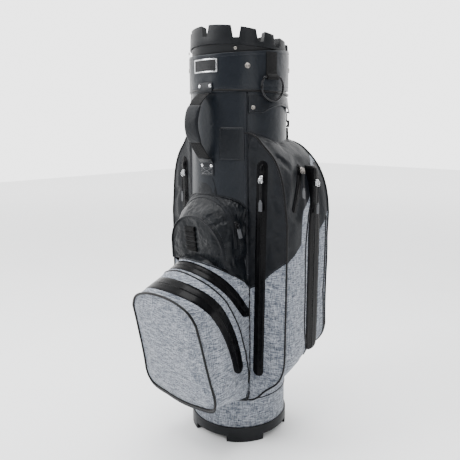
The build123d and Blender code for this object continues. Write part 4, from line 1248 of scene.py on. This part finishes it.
# ---- Valuables pocket ----
valuables = Builder()
depth, ring = np.meshgrid(np.linspace(0, 1, 60), np.linspace(0, 1, 200), indexing="ij")
wall_points = valuables_wall.at(depth, ring)
rough_wall = crumpled(wall_points, valuables_wall.normal(depth, ring), 26.0, 1.3)
stands_off = off_skin(wall_points)
calm = smooth((np.abs(arch_zip(wall_points)) - 6) / 8) * smooth((wall_points[..., 2] - 0.44) / 0.04)
calm = calm * smooth((stands_off - 2) / 10)
wall_points = wall_points + (rough_wall - wall_points) * calm[..., None]
# Where the wall would lie along the skin it goes under it, so only the pocket's own edge shows.
sunk = 2.5 * (1 - smooth(stands_off / 1.2)) * MM
wall_points[..., :2] -= unit(wall_points[..., :2]) * sunk[..., None]
valuables.grid(wall_points, flip=valuables_wall.sign < 0)
fall, span = np.meshgrid(np.linspace(0, 1, 80), np.linspace(0, 1, 140), indexing="ij")
face_points = valuables_face.at(fall, span)
keep = fade_near(face_points, [arch_front[::2]], 0.0, 10.0)[..., None]
rough_face = crumpled(face_points, valuables_face.normal(fall, span), 22.0, 1.2, 3.0)
valuables.grid(face_points + (rough_face - face_points) * keep, flip=valuables_face.sign < 0)
valuables.build("valuables_nylon", NYLON, "bag", "nylon", "valuables_pocket", 0.45)

valuables_film = Builder()


def behind_arch_zip(points):
    return -arch_zip(points)


start = ring_at_height(valuables_wall, behind_arch_zip, 0.462, True)
level_tape(valuables_film, valuables_wall, behind_arch_zip, start, 1 - start, 6.5, 160)
valuables_film.build("valuables_zip", NYLON_PLAIN, "bag", "nylon", "valuables_tape")

valuables_piping = Builder()
run = np.linspace(0.0, 1.0, 200)
front_edge = valuables_wall.lifted(0.0, run, 0.6 * MM) + valuables_normal * 0.5 * MM
valuables_piping.tube(front_edge, 2.0 * MM, 9)
depth_steps = np.linspace(0, 1, 200)
above_skin = off_skin(valuables_wall.across(depth_steps, run))
meeting = np.array([depth_steps[np.argmax(row < 0.6)] if (row < 0.6).any() else 1.0 for row in above_skin])
arch_lip = valuables_wall.lifted(evened(meeting, 11), run, 1.0 * MM)
valuables_piping.tube(arch_lip[arch_lip[:, 2] > 0.43], 1.6 * MM, 8)
valuables_piping.build("valuables_piping", NYLON_PLAIN, "bag", "nylon")

valuables_stitching = Builder()
for at in (0.08, 0.62):
    valuables_stitching.stitches_on(valuables_wall, at, np.linspace(0.05, 0.95, 400), 0.4)
valuables_stitching.build("valuables_stitching", THREAD_GREY, "bag", "nylon")


# ---- Bag body: covers over the tube, collar and rim ----
def skin_grid(angles, heights, wave=0.5, lift=0.0):
    """The bag's skin as a grid over bag angles and heights, with slow ripples in millimetres."""
    a, z = np.meshgrid(angles, heights, indexing="ij")
    points = around(tube_radius(z) + lift, a, z)
    ripple = folds(points * (16, 16, 9), 0.8, 2.0, 2)
    border = smooth((a - angles[0]) / 5) * smooth((angles[-1] - a) / 5)
    border = border * smooth((z - heights[0]) / 12) * smooth((heights[-1] - z) / 12)
    return around(tube_radius(z) + lift + ripple * wave * border, a, z)


def skin_piece(name, start, stop, low, high, material, slot, node, columns, wave=0.5):
    cover = Builder()
    angles = np.linspace(start, stop, max(12, int((stop - start) * 0.8)))
    cover.grid(skin_grid(angles, np.linspace(low, high, columns), wave))
    for edge in (low, high):
        inner = np.array([around(tube_radius(edge) + s, angles, edge) for s in (-1.5, 0.0)])
        cover.grid(inner, flip=edge == low)
    cover.build(name, material, "bag", slot, node)


skin_piece("front_leather", -SEAM_ANGLE, SEAM_ANGLE, 104.4, 790.5, LEATHER, "leather", "front_panel", 220, 0.9)
for side, start, stop in (("right", SEAM_ANGLE, 145), ("left", -145, -SEAM_ANGLE)):
    skin_piece(f"{side}_leather", start, stop, 400, 790.5, LEATHER, "leather", f"{side}_panel", 110)
    skin_piece(f"{side}_heather", start, stop, 104.4, 400, HEATHER, "heather", f"{side}_panel", 80)
skin_piece("rear_leather", 145, 215, 104.4, 790.5, LEATHER, "leather", "rear_panel", 220, 0.9)
band = Builder()
band.grid(skin_grid(np.linspace(-180, 180, 240), np.linspace(18.4, 104.2, 40), 0.4))
band.build("lower_heather", HEATHER, "bag", "heather", "lower_cover")

welts = Builder()
for angle in (-SEAM_ANGLE, SEAM_ANGLE, -145.0, 145.0):
    z = np.linspace(105, 786, 160)
    welts.tube(around(tube_radius(z) + 0.7, angle, z), 1.7 * MM, 9)
z = 104.3
welts.tube(around(tube_radius(z) + 0.4, np.linspace(0, 360, 181)[:-1], z), 1.4 * MM, 8, closed=True)
welts.build("seam_welts", SMOOTH_LEATHER, "bag", "leather")

body_stitching = Builder()
z = np.linspace(110, 776, 500)
SEAM_SIDES = (-SEAM_ANGLE + 2.6, SEAM_ANGLE - 2.6, -SEAM_ANGLE - 2.6, SEAM_ANGLE + 2.6)
for angle in SEAM_SIDES + (-142.4, 142.4, 147.6, -147.6):
    body_stitching.stitches_round(tube_radius(z) + 0.1, angle, z)
body_stitching.build("body_stitching", THREAD_GREY, "bag", "leather")


def collar_bottom(y):
    return 790.0 + 0.035 * y


def collar_top(y):
    return 872.0 + 0.09 * y


collar_angles = np.linspace(-180, 180, 241)
share = np.concatenate([[0, 0.0], np.linspace(0.006, 0.994, 46), [1, 1.0]])
a, s = np.meshgrid(collar_angles, share, indexing="ij")
radius = np.full(a.shape, COLLAR_RADIUS)
radius[:, 0] = radius[:, -1] = 105.4
radius[:, 1] = radius[:, -2] = COLLAR_RADIUS - 0.7
puff = 0.55 * np.sin(np.clip(s, 0, 1) * np.pi) ** 0.5
valley = 0.5 * np.exp(-(((s - 0.12) / 0.012) ** 2)) + 0.5 * np.exp(-(((s - 0.9) / 0.012) ** 2))
y = -radius * np.cos(np.radians(a))
z = collar_bottom(y) + (collar_top(y) - collar_bottom(y)) * s
ripple = folds(np.stack([np.sin(np.radians(a)) * 3, np.cos(np.radians(a)) * 3, s * 1.6], -1), 0.8, 2.0, 3)
middle = (np.sin(np.clip(s, 0, 1) * np.pi) > 0.1).astype(float)
collar = Builder()
collar.grid(around(radius + (puff - valley + 0.65 * ripple) * middle, a, z))
collar.build("collar_leather", LEATHER, "bag", "leather", "collar")
collar_stitching = Builder()
for s_at in (0.105, 0.915):
    turn = np.linspace(-180, 180, 900)
    yy = -COLLAR_RADIUS * np.cos(np.radians(turn))
    zz = collar_bottom(yy) + (collar_top(yy) - collar_bottom(yy)) * s_at
    collar_stitching.stitches_round(COLLAR_RADIUS + 0.35, turn, zz)
collar_stitching.build("collar_stitching", THREAD_GREY, "bag", "leather")


# Side flaps: leather lobes below the collar with a turned and stitched lower edge.
def flap_low(angle):
    """The flap's arched lower edge at a bag angle (right side)."""
    y = -112.0 * np.cos(np.radians(angle))
    arch = 660 + np.sqrt(np.maximum(101.0**2 - (y - 12) ** 2, 0))
    return np.maximum(745.3, arch)


def flap_radius(z):
    return np.interp(z, [745.0, 779.0], [113.0, 108.2])


flaps, flap_stitches = Builder(), Builder()
flap_angles = np.linspace(SEAM_ANGLE + 1.2, 127.8, 90)
for sign in (1, -1):
    s = np.array([0, 0.0, 0.03, 0.1, 0.25, 0.5, 0.75, 1.0])
    a, t = np.meshgrid(flap_angles, s, indexing="ij")
    low = flap_low(a)
    z = low + (778.8 - low) * t
    radius = flap_radius(z) + 0.25 * np.sin(np.radians(a) * 9) * (1 - t)
    radius[:, 0] -= 1.7
    flaps.grid(around(radius, a * sign, z), flip=sign < 0)
    for end in (0, -1):
        edge = np.array([around(radius[end] - inset, a[end] * sign, z[end]) for inset in (1.7, 0.0)])
        flaps.grid(edge, flip=(sign < 0) != (end == -1))
    line = np.linspace(SEAM_ANGLE + 3.0, 126.0, 300)
    zz = flap_low(line) + 4.0
    flap_stitches.stitches_round(flap_radius(zz) + 0.1, line * sign, zz)
    line = np.linspace(SEAM_ANGLE + 1.4, 127.6, 160)
    zz = flap_low(line)
    flaps.tube(around(flap_radius(zz) - 0.5, line * sign, zz + 0.4), 1.25 * MM, 8)
flaps.build("flap_leather", SMOOTH_LEATHER, "bag", "leather", "side_flaps")
flap_stitches.build("flap_stitching", THREAD_GREY, "bag", "leather")


def rounded_patch(builder, radius, thickness, angle, z, width, height, corner, dome, count):
    """A rounded patch wrapped on the bag, with a turned edge and a slight crown."""
    u = np.linspace(-1, 1, count)
    gx, gz = np.meshgrid(u, u, indexing="ij")
    # Square to rounded square: shrink the corners along the diagonal.
    half_w, half_h = width / 2, height / 2
    x, h = gx * half_w, gz * half_h
    over_x = np.maximum(np.abs(x) - (half_w - corner), 0)
    over_z = np.maximum(np.abs(h) - (half_h - corner), 0)
    reach = np.hypot(over_x, over_z)
    pull = np.where(reach > corner, corner / np.maximum(reach, 1e-9), 1.0)
    x = np.sign(x) * (np.minimum(np.abs(x), half_w - corner) + over_x * pull)
    h = np.sign(h) * (np.minimum(np.abs(h), half_h - corner) + over_z * pull)
    crown = dome * (1 - gx**2) * (1 - gz**2)
    edge = np.minimum(np.minimum(half_w - np.abs(x), half_h - np.abs(h)), 1.2) / 1.2
    lift = thickness * rounded(edge) + crown
    rim = np.maximum(np.abs(gx), np.abs(gz)) > 0.999
    lift = np.where(rim, -0.3, np.maximum(lift, 0.35 * thickness))
    builder.grid(around(radius + lift, angle + np.degrees(x / radius), z + h))


patch = Builder()
rounded_patch(patch, tube_radius(681) + 0.1, 1.7, 33.5, 681.0, 54.0, 68.0, 4.0, 0.7, 50)
patch.build("magnet_patch_leather", SMOOTH_LEATHER, "bag", "leather", "magnet_patch")
patch_stitches = Builder()
corners = [(-23.5, -30.5), (23.5, -30.5), (23.5, 30.5), (-23.5, 30.5), (-23.5, -30.5)]
for (x0, z0), (x1, z1) in zip(corners[:-1], corners[1:]):
    x, h = np.linspace(x0, x1, 60), np.linspace(z0, z1, 60)
    patch_stitches.stitches_round(tube_radius(681) + 1.95, 33.5 + np.degrees(x / tube_radius(681)), 681 + h)
patch_stitches.build("patch_stitching", THREAD_GREY, "bag", "leather")


def soften(node, width):
    """Small rounded edges on a moulded or metal CAD node, as modifiers."""
    piece = NODES[node]
    weld = piece.modifiers.new("weld", "WELD")
    weld.merge_threshold = 2e-5
    bevel = piece.modifiers.new("bevel", "BEVEL")
    bevel.width = width * MM
    bevel.segments = 2
    bevel.limit_method = "ANGLE"
    bevel.angle_limit = math.radians(32.0)
    bevel.harden_normals = False


def finish_node(node, material):
    """Gives a CAD node its procedural material."""
    piece = NODES[node]
    if not piece.material_slots:
        piece.data.materials.append(material)
    for slot in piece.material_slots:
        slot.material = material


# The CAD nodes that are shown as they are: each one's material, and how far its edges are softened (mm).
CAD_LOOKS = {
    "base_boot": (MOULDED, 1.0), "base_pad": (BOARD, 0), "body_tube": (STRUCTURE, 0),
    "collar_piping": (PIPING, 0), "divider_curtains": (CURTAIN, 0), "divider_grid": (GRID_PLASTIC, 0),
    "name_plate": (BRIGHT, 0.4), "plate_inlay": (PLATE, 0), "stay_rods": (ROD, 0),
    "strap_brackets": (DARK_METAL, 0.5), "top_rim": (MOULDED, 0.9), "towel_ring": (DARK_METAL, 0),
    "strap_hooks": (DARK_METAL, 0.5),
}
for node, (material, width) in CAD_LOOKS.items():
    finish_node(node, material)
    if width:
        soften(node, width)


def fasteners(name, places, profile, material, node):
    """Turned metal heads, one at each (surface radius, angle, z), from a (radius, height) profile."""
    heads = Builder()
    turn = np.linspace(0, 2 * np.pi, 32, endpoint=False)
    for surface, angle, z_at in places:
        out, side = directions(angle)
        centre = out * surface + UP * z_at
        rings = []
        for r, h in profile:
            ring = side * np.cos(turn)[:, None] * r + UP * np.sin(turn)[:, None] * r
            rings.append((centre + ring + out * h) * MM)
        heads.grid(np.array(rings), closed_columns=True)
        heads.faces.append(tuple(range(len(heads.vertices) - 32, len(heads.vertices))))
    shade_sharp(heads.build(name, material, "bag", "bright_metal", node), 50)


SNAP = [(5.5, -0.3), (5.5, 0.5), (5.2, 1.2), (4.6, 1.6), (3.9, 1.3), (3.4, 0.7)]
SNAP += [(2.6, 0.6), (2.2, 1.1), (1.6, 1.7), (0.8, 2.0), (0.2, 2.05)]
SMALL_SNAP = [(r * 0.82, h * 0.9) for r, h in SNAP]
RIVET = [(3.6, -0.3), (3.6, 0.3), (3.4, 0.9), (2.8, 1.4), (1.9, 1.75), (0.9, 1.9), (0.2, 1.95)]
SCREW = [(3.2, -0.3), (3.2, 0.6), (2.9, 1.1), (2.0, 1.4), (1.0, 1.5), (0.9, 0.7), (0.2, 0.7)]
hood_places = [(109.9, a, 838.0) for a in (-129.4, -SEAM_ANGLE, SEAM_ANGLE, 129.4)]
fasteners("snap_heads", hood_places, SNAP, NICKEL, "hood_snaps")
fasteners("flap_snap_heads", [(112.7, a, 755.0) for a in (56.5, -56.5)], SMALL_SNAP, NICKEL, "flap_snaps")
fasteners("screw_heads", [(109.7, a, 871.6) for a in (-37.7, 37.7)], SCREW, NICKEL, "rim_screws")
skin_at_tab = tube_radius(614) + 0.1
rivet_places = [(113.4, a, 799.0) for a in (-5.2, 9.6)] + [(skin_at_tab + 2.1, a, 635.0) for a in (-4.6, 9.0)]
fasteners("rivet_heads", rivet_places, RIVET, BRIGHT, "handle_rivets")


# ---- Strips of webbing and the padded pieces on them ----
def radial_path(path, count, low, high):
    """The radii and heights, between low and high, of a smooth path of (radius, z) points in millimetres."""
    fine = curve_through(path, count)
    return fine[(fine[:, 1] > low) & (fine[:, 1] < high)].T


def strap(builder, radii, heights, angle, thickness, widths, padded=False, sides=14):
    """A flat or padded strip in the upright plane at a bag angle.

    Returns its middle line, and its directions outward and across.
    """
    out, across = directions(angle)
    middle = out[None] * radii[:, None] * MM + UP[None] * heights[:, None] * MM
    ahead = unit(np.gradient(middle, axis=0))
    normal = unit(np.cross(ahead, across))
    if np.dot(normal[len(normal) // 2], out) < 0:
        normal = -normal
    widths = np.broadcast_to(np.asarray(widths, float), (len(middle),))
    thickness = np.broadcast_to(np.asarray(thickness, float), (len(middle),))
    turn = np.linspace(0, 2 * np.pi, sides * 2, endpoint=False)
    # The lower the powers, the squarer the section.
    power_across, power_out = (0.55, 0.75) if padded else (0.22, 0.5)
    cx = np.sign(np.cos(turn)) * np.abs(np.cos(turn)) ** power_across
    cz = np.sign(np.sin(turn)) * np.abs(np.sin(turn)) ** power_out
    ring = (
        across[None, None] * (cx[None, :, None] * widths[:, None, None] / 2)
        + normal[:, None] * (cz[None, :, None] * thickness[:, None, None] / 2)
    ) * MM
    builder.grid(middle[:, None] + ring, closed_columns=True)
    start = len(builder.vertices) - len(middle) * len(turn)
    first = list(range(start, start + len(turn)))
    last = list(range(len(builder.vertices) - len(turn), len(builder.vertices)))
    builder.faces.append(tuple(first))
    builder.faces.append(tuple(last[::-1]))
    return middle, normal, across


def strip_uv(piece, angle):
    """UVs in metres for webbing: x across the strap, y along it by height."""
    across, mesh = directions(angle)[1], piece.data
    layer = mesh.uv_layers.new(name="strap_metres")
    points = np.array([v.co for v in mesh.vertices])
    values = np.stack([points @ across, points[:, 2]], -1)
    index = np.zeros(len(mesh.loops), int)
    mesh.loops.foreach_get("vertex_index", index)
    layer.data.foreach_set("uv", values[index].ravel())


LOOP_PATH = [(114.6, 784), (122, 779), (135.5, 768), (149.5, 745)]
LOOP_PATH += [(153.5, 715), (143, 685), (128, 664), (117, 651)]
loop_r, loop_z = radial_path(LOOP_PATH, 160, 651.2, 784)
handle = Builder()
flare = np.interp(loop_z, [651, 672, 690, 755, 768, 784], [33.5, 33.5, 30.0, 30.0, 33.5, 33.5])
strap(handle, loop_r, loop_z, 2.0, 2.6, flare)
strip_uv(handle.build("handle_loop_webbing", WEBBING, "grab_handle", "webbing", "handle_webbing"), 2.0)
sleeve = Builder()
inside = (loop_z > 684.5) & (loop_z < 759.5)
run = np.linspace(0, 1, inside.sum())
full = rounded(np.clip(np.minimum(run, 1 - run) / 0.22, 0, 1))
sleeve_mid, sleeve_out, sleeve_side = strap(
    sleeve, loop_r[inside], loop_z[inside], 2.0, 3.6 + 5.6 * full, 31.5 + 5.0 * full, True, 18
)
sleeve.build("handle_sleeve_padded", NYLON_PLAIN, "grab_handle", "leather", "handle_sleeve", 0.7)
sleeve_stitches = Builder()
for sign in (1, -1):
    line = sleeve_mid + sleeve_side * sign * 14.5 * MM + sleeve_out * 3.3 * MM
    sleeve_stitches.stitches(line[6:-6], sleeve_out[6:-6])
sleeve_stitches.build("sleeve_stitching", THREAD_GREY, "grab_handle", "leather")

# The leather tabs that hold the handle's ends.
tabs = Builder()


def turned_profile(builder, profile, start, stop, count=30):
    """A closed (radius, z) outline swept between two bag angles, with its ends closed."""
    profile = np.array(profile, float)
    angles = np.linspace(start, stop, count)
    grid = np.array([around(profile[:, 0], a, profile[:, 1]) for a in angles])
    builder.grid(grid, closed_columns=True)
    offset = len(builder.vertices) - grid.shape[0] * grid.shape[1]
    builder.faces.append(tuple(range(offset, offset + len(profile)))[::-1])
    builder.faces.append(tuple(range(len(builder.vertices) - len(profile), len(builder.vertices))))


UPPER_TAB = [(109.6, 794.4), (109.6, 805.8), (112.2, 805.8), (112.7, 805.0)]
UPPER_TAB += [(113.9, 786), (113.6, 785.1), (111.2, 785.1), (111.2, 794.4)]
LOWER_TAB = [(skin_at_tab, 614.2), (skin_at_tab, 641), (114.5, 649.2), (118.3, 649.2), (118.4, 648.6)]
LOWER_TAB += [(skin_at_tab + 2, 640), (skin_at_tab + 2, 615), (skin_at_tab + 1.5, 614.2)]
for profile in (UPPER_TAB, LOWER_TAB):
    turned_profile(tabs, profile, -7.4, 11.6)
shade_sharp(tabs.build("handle_tab_leather", SMOOTH_LEATHER, "bag", "leather", "handle_tabs"), 40)
tab_stitches = Builder()
box = [(-5.6, 617.5), (9.8, 617.5), (9.8, 630.0), (-5.6, 630.0), (-5.6, 617.5), (9.8, 630.0)]
for (a0, z0), (a1, z1) in list(zip(box[:-1], box[1:])) + [((-5.6, 630.0), (9.8, 617.5))]:
    angle, z = np.linspace(a0, a1, 60), np.linspace(z0, z1, 60)
    tab_stitches.stitches_round(skin_at_tab + 2.05, angle, z)
tab_stitches.build("tab_stitching", THREAD_LIGHT, "bag", "leather")

# Towel strap: a short webbing strip on the collar that loops round the ring's bar.
towel = Builder()
towel_profile = [(109.7, 866.5), (111.4, 866.9), (111.5, 865.5), (111.4, 830), (112.2, 824)]
bar_r, bar_z = 114.8, 816.5
for turn in np.radians(np.linspace(70, -210, 26)):
    towel_profile.append((bar_r + 4.8 * math.cos(turn), bar_z + 4.8 * math.sin(turn)))
towel_profile += [(109.7, 822), (109.7, 840)]
half_angle = np.degrees(14.0 / 111.0)
turned_profile(towel, towel_profile, 79.0 - half_angle, 79.0 + half_angle, 16)
towel_piece = towel.build("towel_strap_webbing", WEBBING, "bag", "webbing", "towel_strap")
shade_sharp(towel_piece, 50)
strip_uv(towel_piece, 79.0)

# Shoulder strap down the back.
STRAP_PATH = [(117.5, 714), (119, 690), (122, 650), (128, 600), (131.5, 545)]
STRAP_PATH += [(130, 490), (124, 430), (119, 392), (117.5, 373)]
STRAP_ANGLE = 155.0
strap_r, strap_z = radial_path(STRAP_PATH, 200, 372.8, 714.2)
webbing = Builder()
strap(webbing, strap_r, strap_z, STRAP_ANGLE, 2.3, 29.6)
webbing_piece = webbing.build("shoulder_webbing", WEBBING, "shoulder_strap", "webbing", "strap_webbing")
strip_uv(webbing_piece, STRAP_ANGLE)
pad = Builder()
inside = (strap_z > 430.5) & (strap_z < 649.5)
run = np.linspace(0, 1, inside.sum())
full = rounded(np.clip(np.minimum(run, 1 - run) / 0.06, 0, 1))
channels = 1 - 0.16 * np.exp(-(((run * 6) % 1 - 0.5) / 0.05) ** 2)
thick, wide = (3.2 + 6.6 * full) * channels, 24 + 21.5 * full
pad_mid, _, pad_side = strap(pad, strap_r[inside], strap_z[inside], STRAP_ANGLE, thick, wide, True, 18)
pad.build("shoulder_pad", NYLON_PLAIN, "shoulder_strap", "nylon", "strap_pad", 0.6)
pad_binding = Builder()
for sign in (1, -1):
    pad_binding.tube(pad_mid[5:-5] + pad_side * sign * 22.6 * MM, 1.5 * MM, 8)
pad_binding.build("pad_binding", PIPING, "shoulder_strap", "piping")
strap_tabs = Builder()
for z_at in (732.0, 355.0):
    rounded_patch(strap_tabs, tube_radius(z_at) + 0.6, 1.6, STRAP_ANGLE, z_at, 34.0, 44.0, 3.0, 0.0, 26)
strap_tabs.build("strap_tab_leather", SMOOTH_LEATHER, "bag", "leather", "strap_tabs")

# Ladder webbing on the valuables pocket: a flat strip sewn down between five loops.
ladder = Builder()
drop = np.linspace(30, -27, 300)
phase = (drop + 27) / 57 * 5
bulge = np.abs(np.sin(phase * np.pi)) ** 0.7 * 4.2
lean = np.array([0, -1.0, -0.14]) / math.hypot(1, 0.14)
down = np.array([0, -0.14, 1.0]) / math.hypot(1, 0.14)
rung = np.array([0, -0.1414, 0.477]) + down * (drop * MM)[:, None] + lean * ((0.5 + bulge) * MM)[:, None]
across = np.linspace(-15, 15, 9)
front_side, back_side = (
    np.array([rung + np.array([(x - 11.5) * MM, 0, 0]) + lean * (out * MM) for x in across])
    for out in (0.7, -0.7)
)
ladder.grid(np.concatenate([front_side, back_side[::-1]]), closed_rows=True, flip=True)
strip_uv(ladder.build("ladder_loops", WEBBING, "bag", "webbing", "ladder_webbing"), 0.0)


# ---- Zip sliders and pullers ----
def basis(origin, up, normal):
    """A frame on a zip, in metres: x across the tape, y up it, z out of it."""
    z_axis = unit(np.array(normal, float))
    y_axis = unit(np.array(up, float) - z_axis * np.dot(up, z_axis))
    return np.array(origin, float) * MM, np.cross(y_axis, z_axis), y_axis, z_axis


SLIDER_FRAMES = {
    "right_front": basis((117.294, -61.471, 610), (-0.01341, -0.00268, 0.99991), (0.19612, -0.98058, 0)),
    "right_outer": basis((176.3, 52, 598), (0, 0, 1), (1, 0, 0)),
    "right_short": basis((159.275, 18.807, 624.382), (-0.34152, 0.43123, 0.83511), (0.9342, 0.05827, 0.35196)),
    "valuables": basis((82.297, -102.8, 514.451), (-0.25823, -0.06746, 0.96373), (0.92983, -0.28808, 0.22898)),
    "cooler": basis((-92.6, -99, 342), (-0.05176, -0.64696, 0.76076), (-0.99682, 0.07975, 0)),
}
PIVOT_HEIGHT = 6.6


def placed(frame, points):
    """Local millimetre points in a frame, in metres."""
    origin, x_axis, y_axis, z_axis = frame
    points = np.asarray(points, float) * MM
    return origin + points[..., :1] * x_axis + points[..., 1:2] * y_axis + points[..., 2:] * z_axis


def slab(builder, frame, outline, low, high, round_off):
    """A flat piece with rounded upper and lower edges from a closed outline of (x, y)."""
    outline = np.array(outline, float)
    middle = outline.mean(0)
    inner = middle + (outline - middle) * (1 - round_off / np.linalg.norm(outline - middle, axis=1).mean())
    levels = [(inner, low), (outline, low + round_off), (outline, high - round_off), (inner, high)]
    rings = np.array([placed(frame, np.column_stack([ring, np.full(len(ring), z)])) for ring, z in levels])
    builder.grid(rings, closed_columns=True)
    count, end = len(outline), len(builder.vertices)
    builder.faces.append(tuple(range(end - 4 * count, end - 3 * count))[::-1])
    builder.faces.append(tuple(range(end - count, end)))


def rounded_box(width, top, bottom, corner, per=6):
    """A rounded rectangle outline, counter-clockwise."""
    half = width / 2
    points = []
    for cx, cy, start in (
        (half - corner, top - corner, 0), (-half + corner, top - corner, 90),
        (-half + corner, bottom + corner, 180), (half - corner, bottom + corner, 270),
    ):
        for t in np.radians(np.linspace(start, start + 90, per)):
            points.append((cx + corner * math.cos(t), cy + corner * math.sin(t)))
    return points


def slider_shape(frame):
    """A zip slider: waisted body, side flanges and the bridge that holds its puller."""
    builder = Builder()
    t = np.linspace(0, 2 * np.pi, 40, endpoint=False)
    y = 6.8 * np.sign(np.sin(t)) * np.abs(np.sin(t)) ** 0.75
    half = 3.4 + 1.0 * (y / 7) ** 2 + 0.5 * (y > 0)
    x = half * np.sign(np.cos(t)) * np.abs(np.cos(t)) ** 0.5
    slab(builder, frame, np.column_stack([x, y]), 0.5, 1.7, 0.4)
    slab(builder, frame, np.column_stack([x * 1.02, y]), 2.9, 4.3, 0.5)
    slab(builder, frame, rounded_box(3.2, 6.5, -3.0, 1.0, 4), 1.5, 3.1, 0.1)
    angle = np.linspace(0, np.pi, 20)
    bridge = np.column_stack([np.zeros(20), 4.6 * np.cos(angle), 3.6 + 5.0 * np.sin(angle) ** 0.7])
    builder.tube(placed(frame, bridge), 1.0 * MM, 8)
    return builder


# A long puller's cord: half of its loop, from the tab's middle up to the eye.
CORD_HALF = [(1.7, -20), (1.9, -13), (1.5, -8.8)]


def puller_shapes(frame, length):
    """A puller: metal eye over the bridge, a cord loop and a moulded tab, hanging from the pivot."""
    eye, cord, tab = Builder(), Builder(), Builder()
    rise = PIVOT_HEIGHT
    outline = rounded_box(8.6, 2.2, -8.2, 3.0, 8)
    loop = placed(frame, np.column_stack([outline, np.full(len(outline), rise)]))
    eye.tube(loop, 0.85 * MM, 8, closed=True)
    tab_top = -length + 20.0 + 2.0
    if tab_top < -12:
        strand = [(x, y, rise) for x, y in [(1.5, tab_top)] + CORD_HALF]
        strands = strand + [(0.0, -7.4, rise + 0.5)] + [(-x, y, z) for x, y, z in strand[::-1]]
        cord.tube(placed(frame, curve_through(strands, 60)), 0.85 * MM, 8)
        slab(tab, frame, rounded_box(8.6, -length + 20, -length + 0.2, 1.4), rise - 0.8, rise + 0.8, 0.35)
        slab(tab, frame, rounded_box(5.4, -length + 24.5, -length + 18, 1.6), rise - 1.2, rise + 1.2, 0.5)
        for k in range(5):
            y = -length + 4.2 + 2.6 * k
            bar = [(x, y, rise + 0.8) for x in np.linspace(-2.8, 2.8, 8)]
            tab.tube(placed(frame, bar), 0.3 * MM, 6)
    else:
        cord.tube(placed(frame, [(0, -7.6, rise), (0, -12, rise)]), 1.4 * MM, 8)
        slab(tab, frame, rounded_box(8.6, -9.6, -length + 0.2, 1.4), rise - 0.8, rise + 0.8, 0.35)
    return eye, cord, tab


def flipped(builder):
    """The mirror image of what a builder holds."""
    other = Builder()
    other.vertices = [(-p[0], p[1], p[2]) for p in builder.vertices]
    other.faces = [face[::-1] for face in builder.faces]
    return other


PULLER_LENGTHS = {"right_front": 68, "right_outer": 68, "right_short": 68, "valuables": 30, "cooler": 30}
for place, length in PULLER_LENGTHS.items():
    for side in ("right", "left") if place.startswith("right") else ("",):
        label = place.replace("right", side) if side else place
        shapes = [slider_shape(SLIDER_FRAMES[place]), *puller_shapes(SLIDER_FRAMES[place], length)]
        if side == "left":
            shapes = [flipped(shape) for shape in shapes]
        body, eye, cord, tab = shapes
        metal = BRIGHT if side and place != "right_short" else NICKEL if side else DARK_METAL
        slider, puller = f"{label}_slider", f"{label}_puller"
        shade_sharp(body.build(f"{slider}_body", metal, slider, "bright_metal", slider), 40)
        shade_sharp(tab.build(f"{puller}_tab", TAB_RUBBER, puller, "puller", puller), 40)
        eye.build(f"{puller}_eye", metal, puller, "bright_metal")
        cord.build(f"{puller}_cord", CORD, puller, "webbing")


# ---- Floor and light ----
floor_mesh = bpy.data.meshes.new("floor")
floor_mesh.from_pydata([(-6, -5, 0), (6, -5, 0), (6, 8, 0), (-6, 8, 0)], [], [(0, 1, 2, 3)])
floor = bpy.data.objects.new("floor", floor_mesh)
bpy.context.scene.collection.objects.link(floor)
floor.data.materials.append(FLOOR)

world = bpy.data.worlds.new("studio")
world.use_nodes = True
# A pale studio: bright behind the bag and overhead, dimmer on the near side.
nodes, links = world.node_tree.nodes, world.node_tree.links
direction = nodes.new("ShaderNodeTexCoord")
toward = nodes.new("ShaderNodeVectorMath")
toward.operation = "DOT_PRODUCT"
toward.inputs[1].default_value = (-0.62, 0.70, 0.35)
links.new(direction.outputs["Generated"], toward.inputs[0])
spread = nodes.new("ShaderNodeMapRange")
spread.interpolation_type = "SMOOTHSTEP"
for socket, value in (("From Min", -0.15), ("From Max", 0.7), ("To Min", 0.4), ("To Max", 3.4)):
    spread.inputs[socket].default_value = value
links.new(toward.outputs["Value"], spread.inputs["Value"])
links.new(spread.outputs["Result"], nodes["Background"].inputs["Strength"])
nodes["Background"].inputs["Color"].default_value = (1.0, 1.0, 1.0, 1.0)
bpy.context.scene.world = world


def area_light(name, place, aim, width, height, power):
    """A soft rectangular light aimed at a point."""
    light = bpy.data.objects.new(name, bpy.data.lights.new(name, "AREA"))
    light.data.shape = "RECTANGLE"
    light.data.size, light.data.size_y = width, height
    light.data.energy = power
    light.location = place
    light.rotation_euler = (Vector(aim) - Vector(place)).to_track_quat("-Z", "Y").to_euler()
    bpy.context.scene.collection.objects.link(light)


area_light("key", (-1.5, -2.2, 1.9), (0, 0, 0.42), 1.0, 1.6, 62)
area_light("fill", (2.5, -1.1, 1.3), (0, 0, 0.42), 0.7, 1.8, 17)
area_light("top", (0.0, -0.4, 2.6), (0, 0, 0.6), 1.4, 1.4, 62)
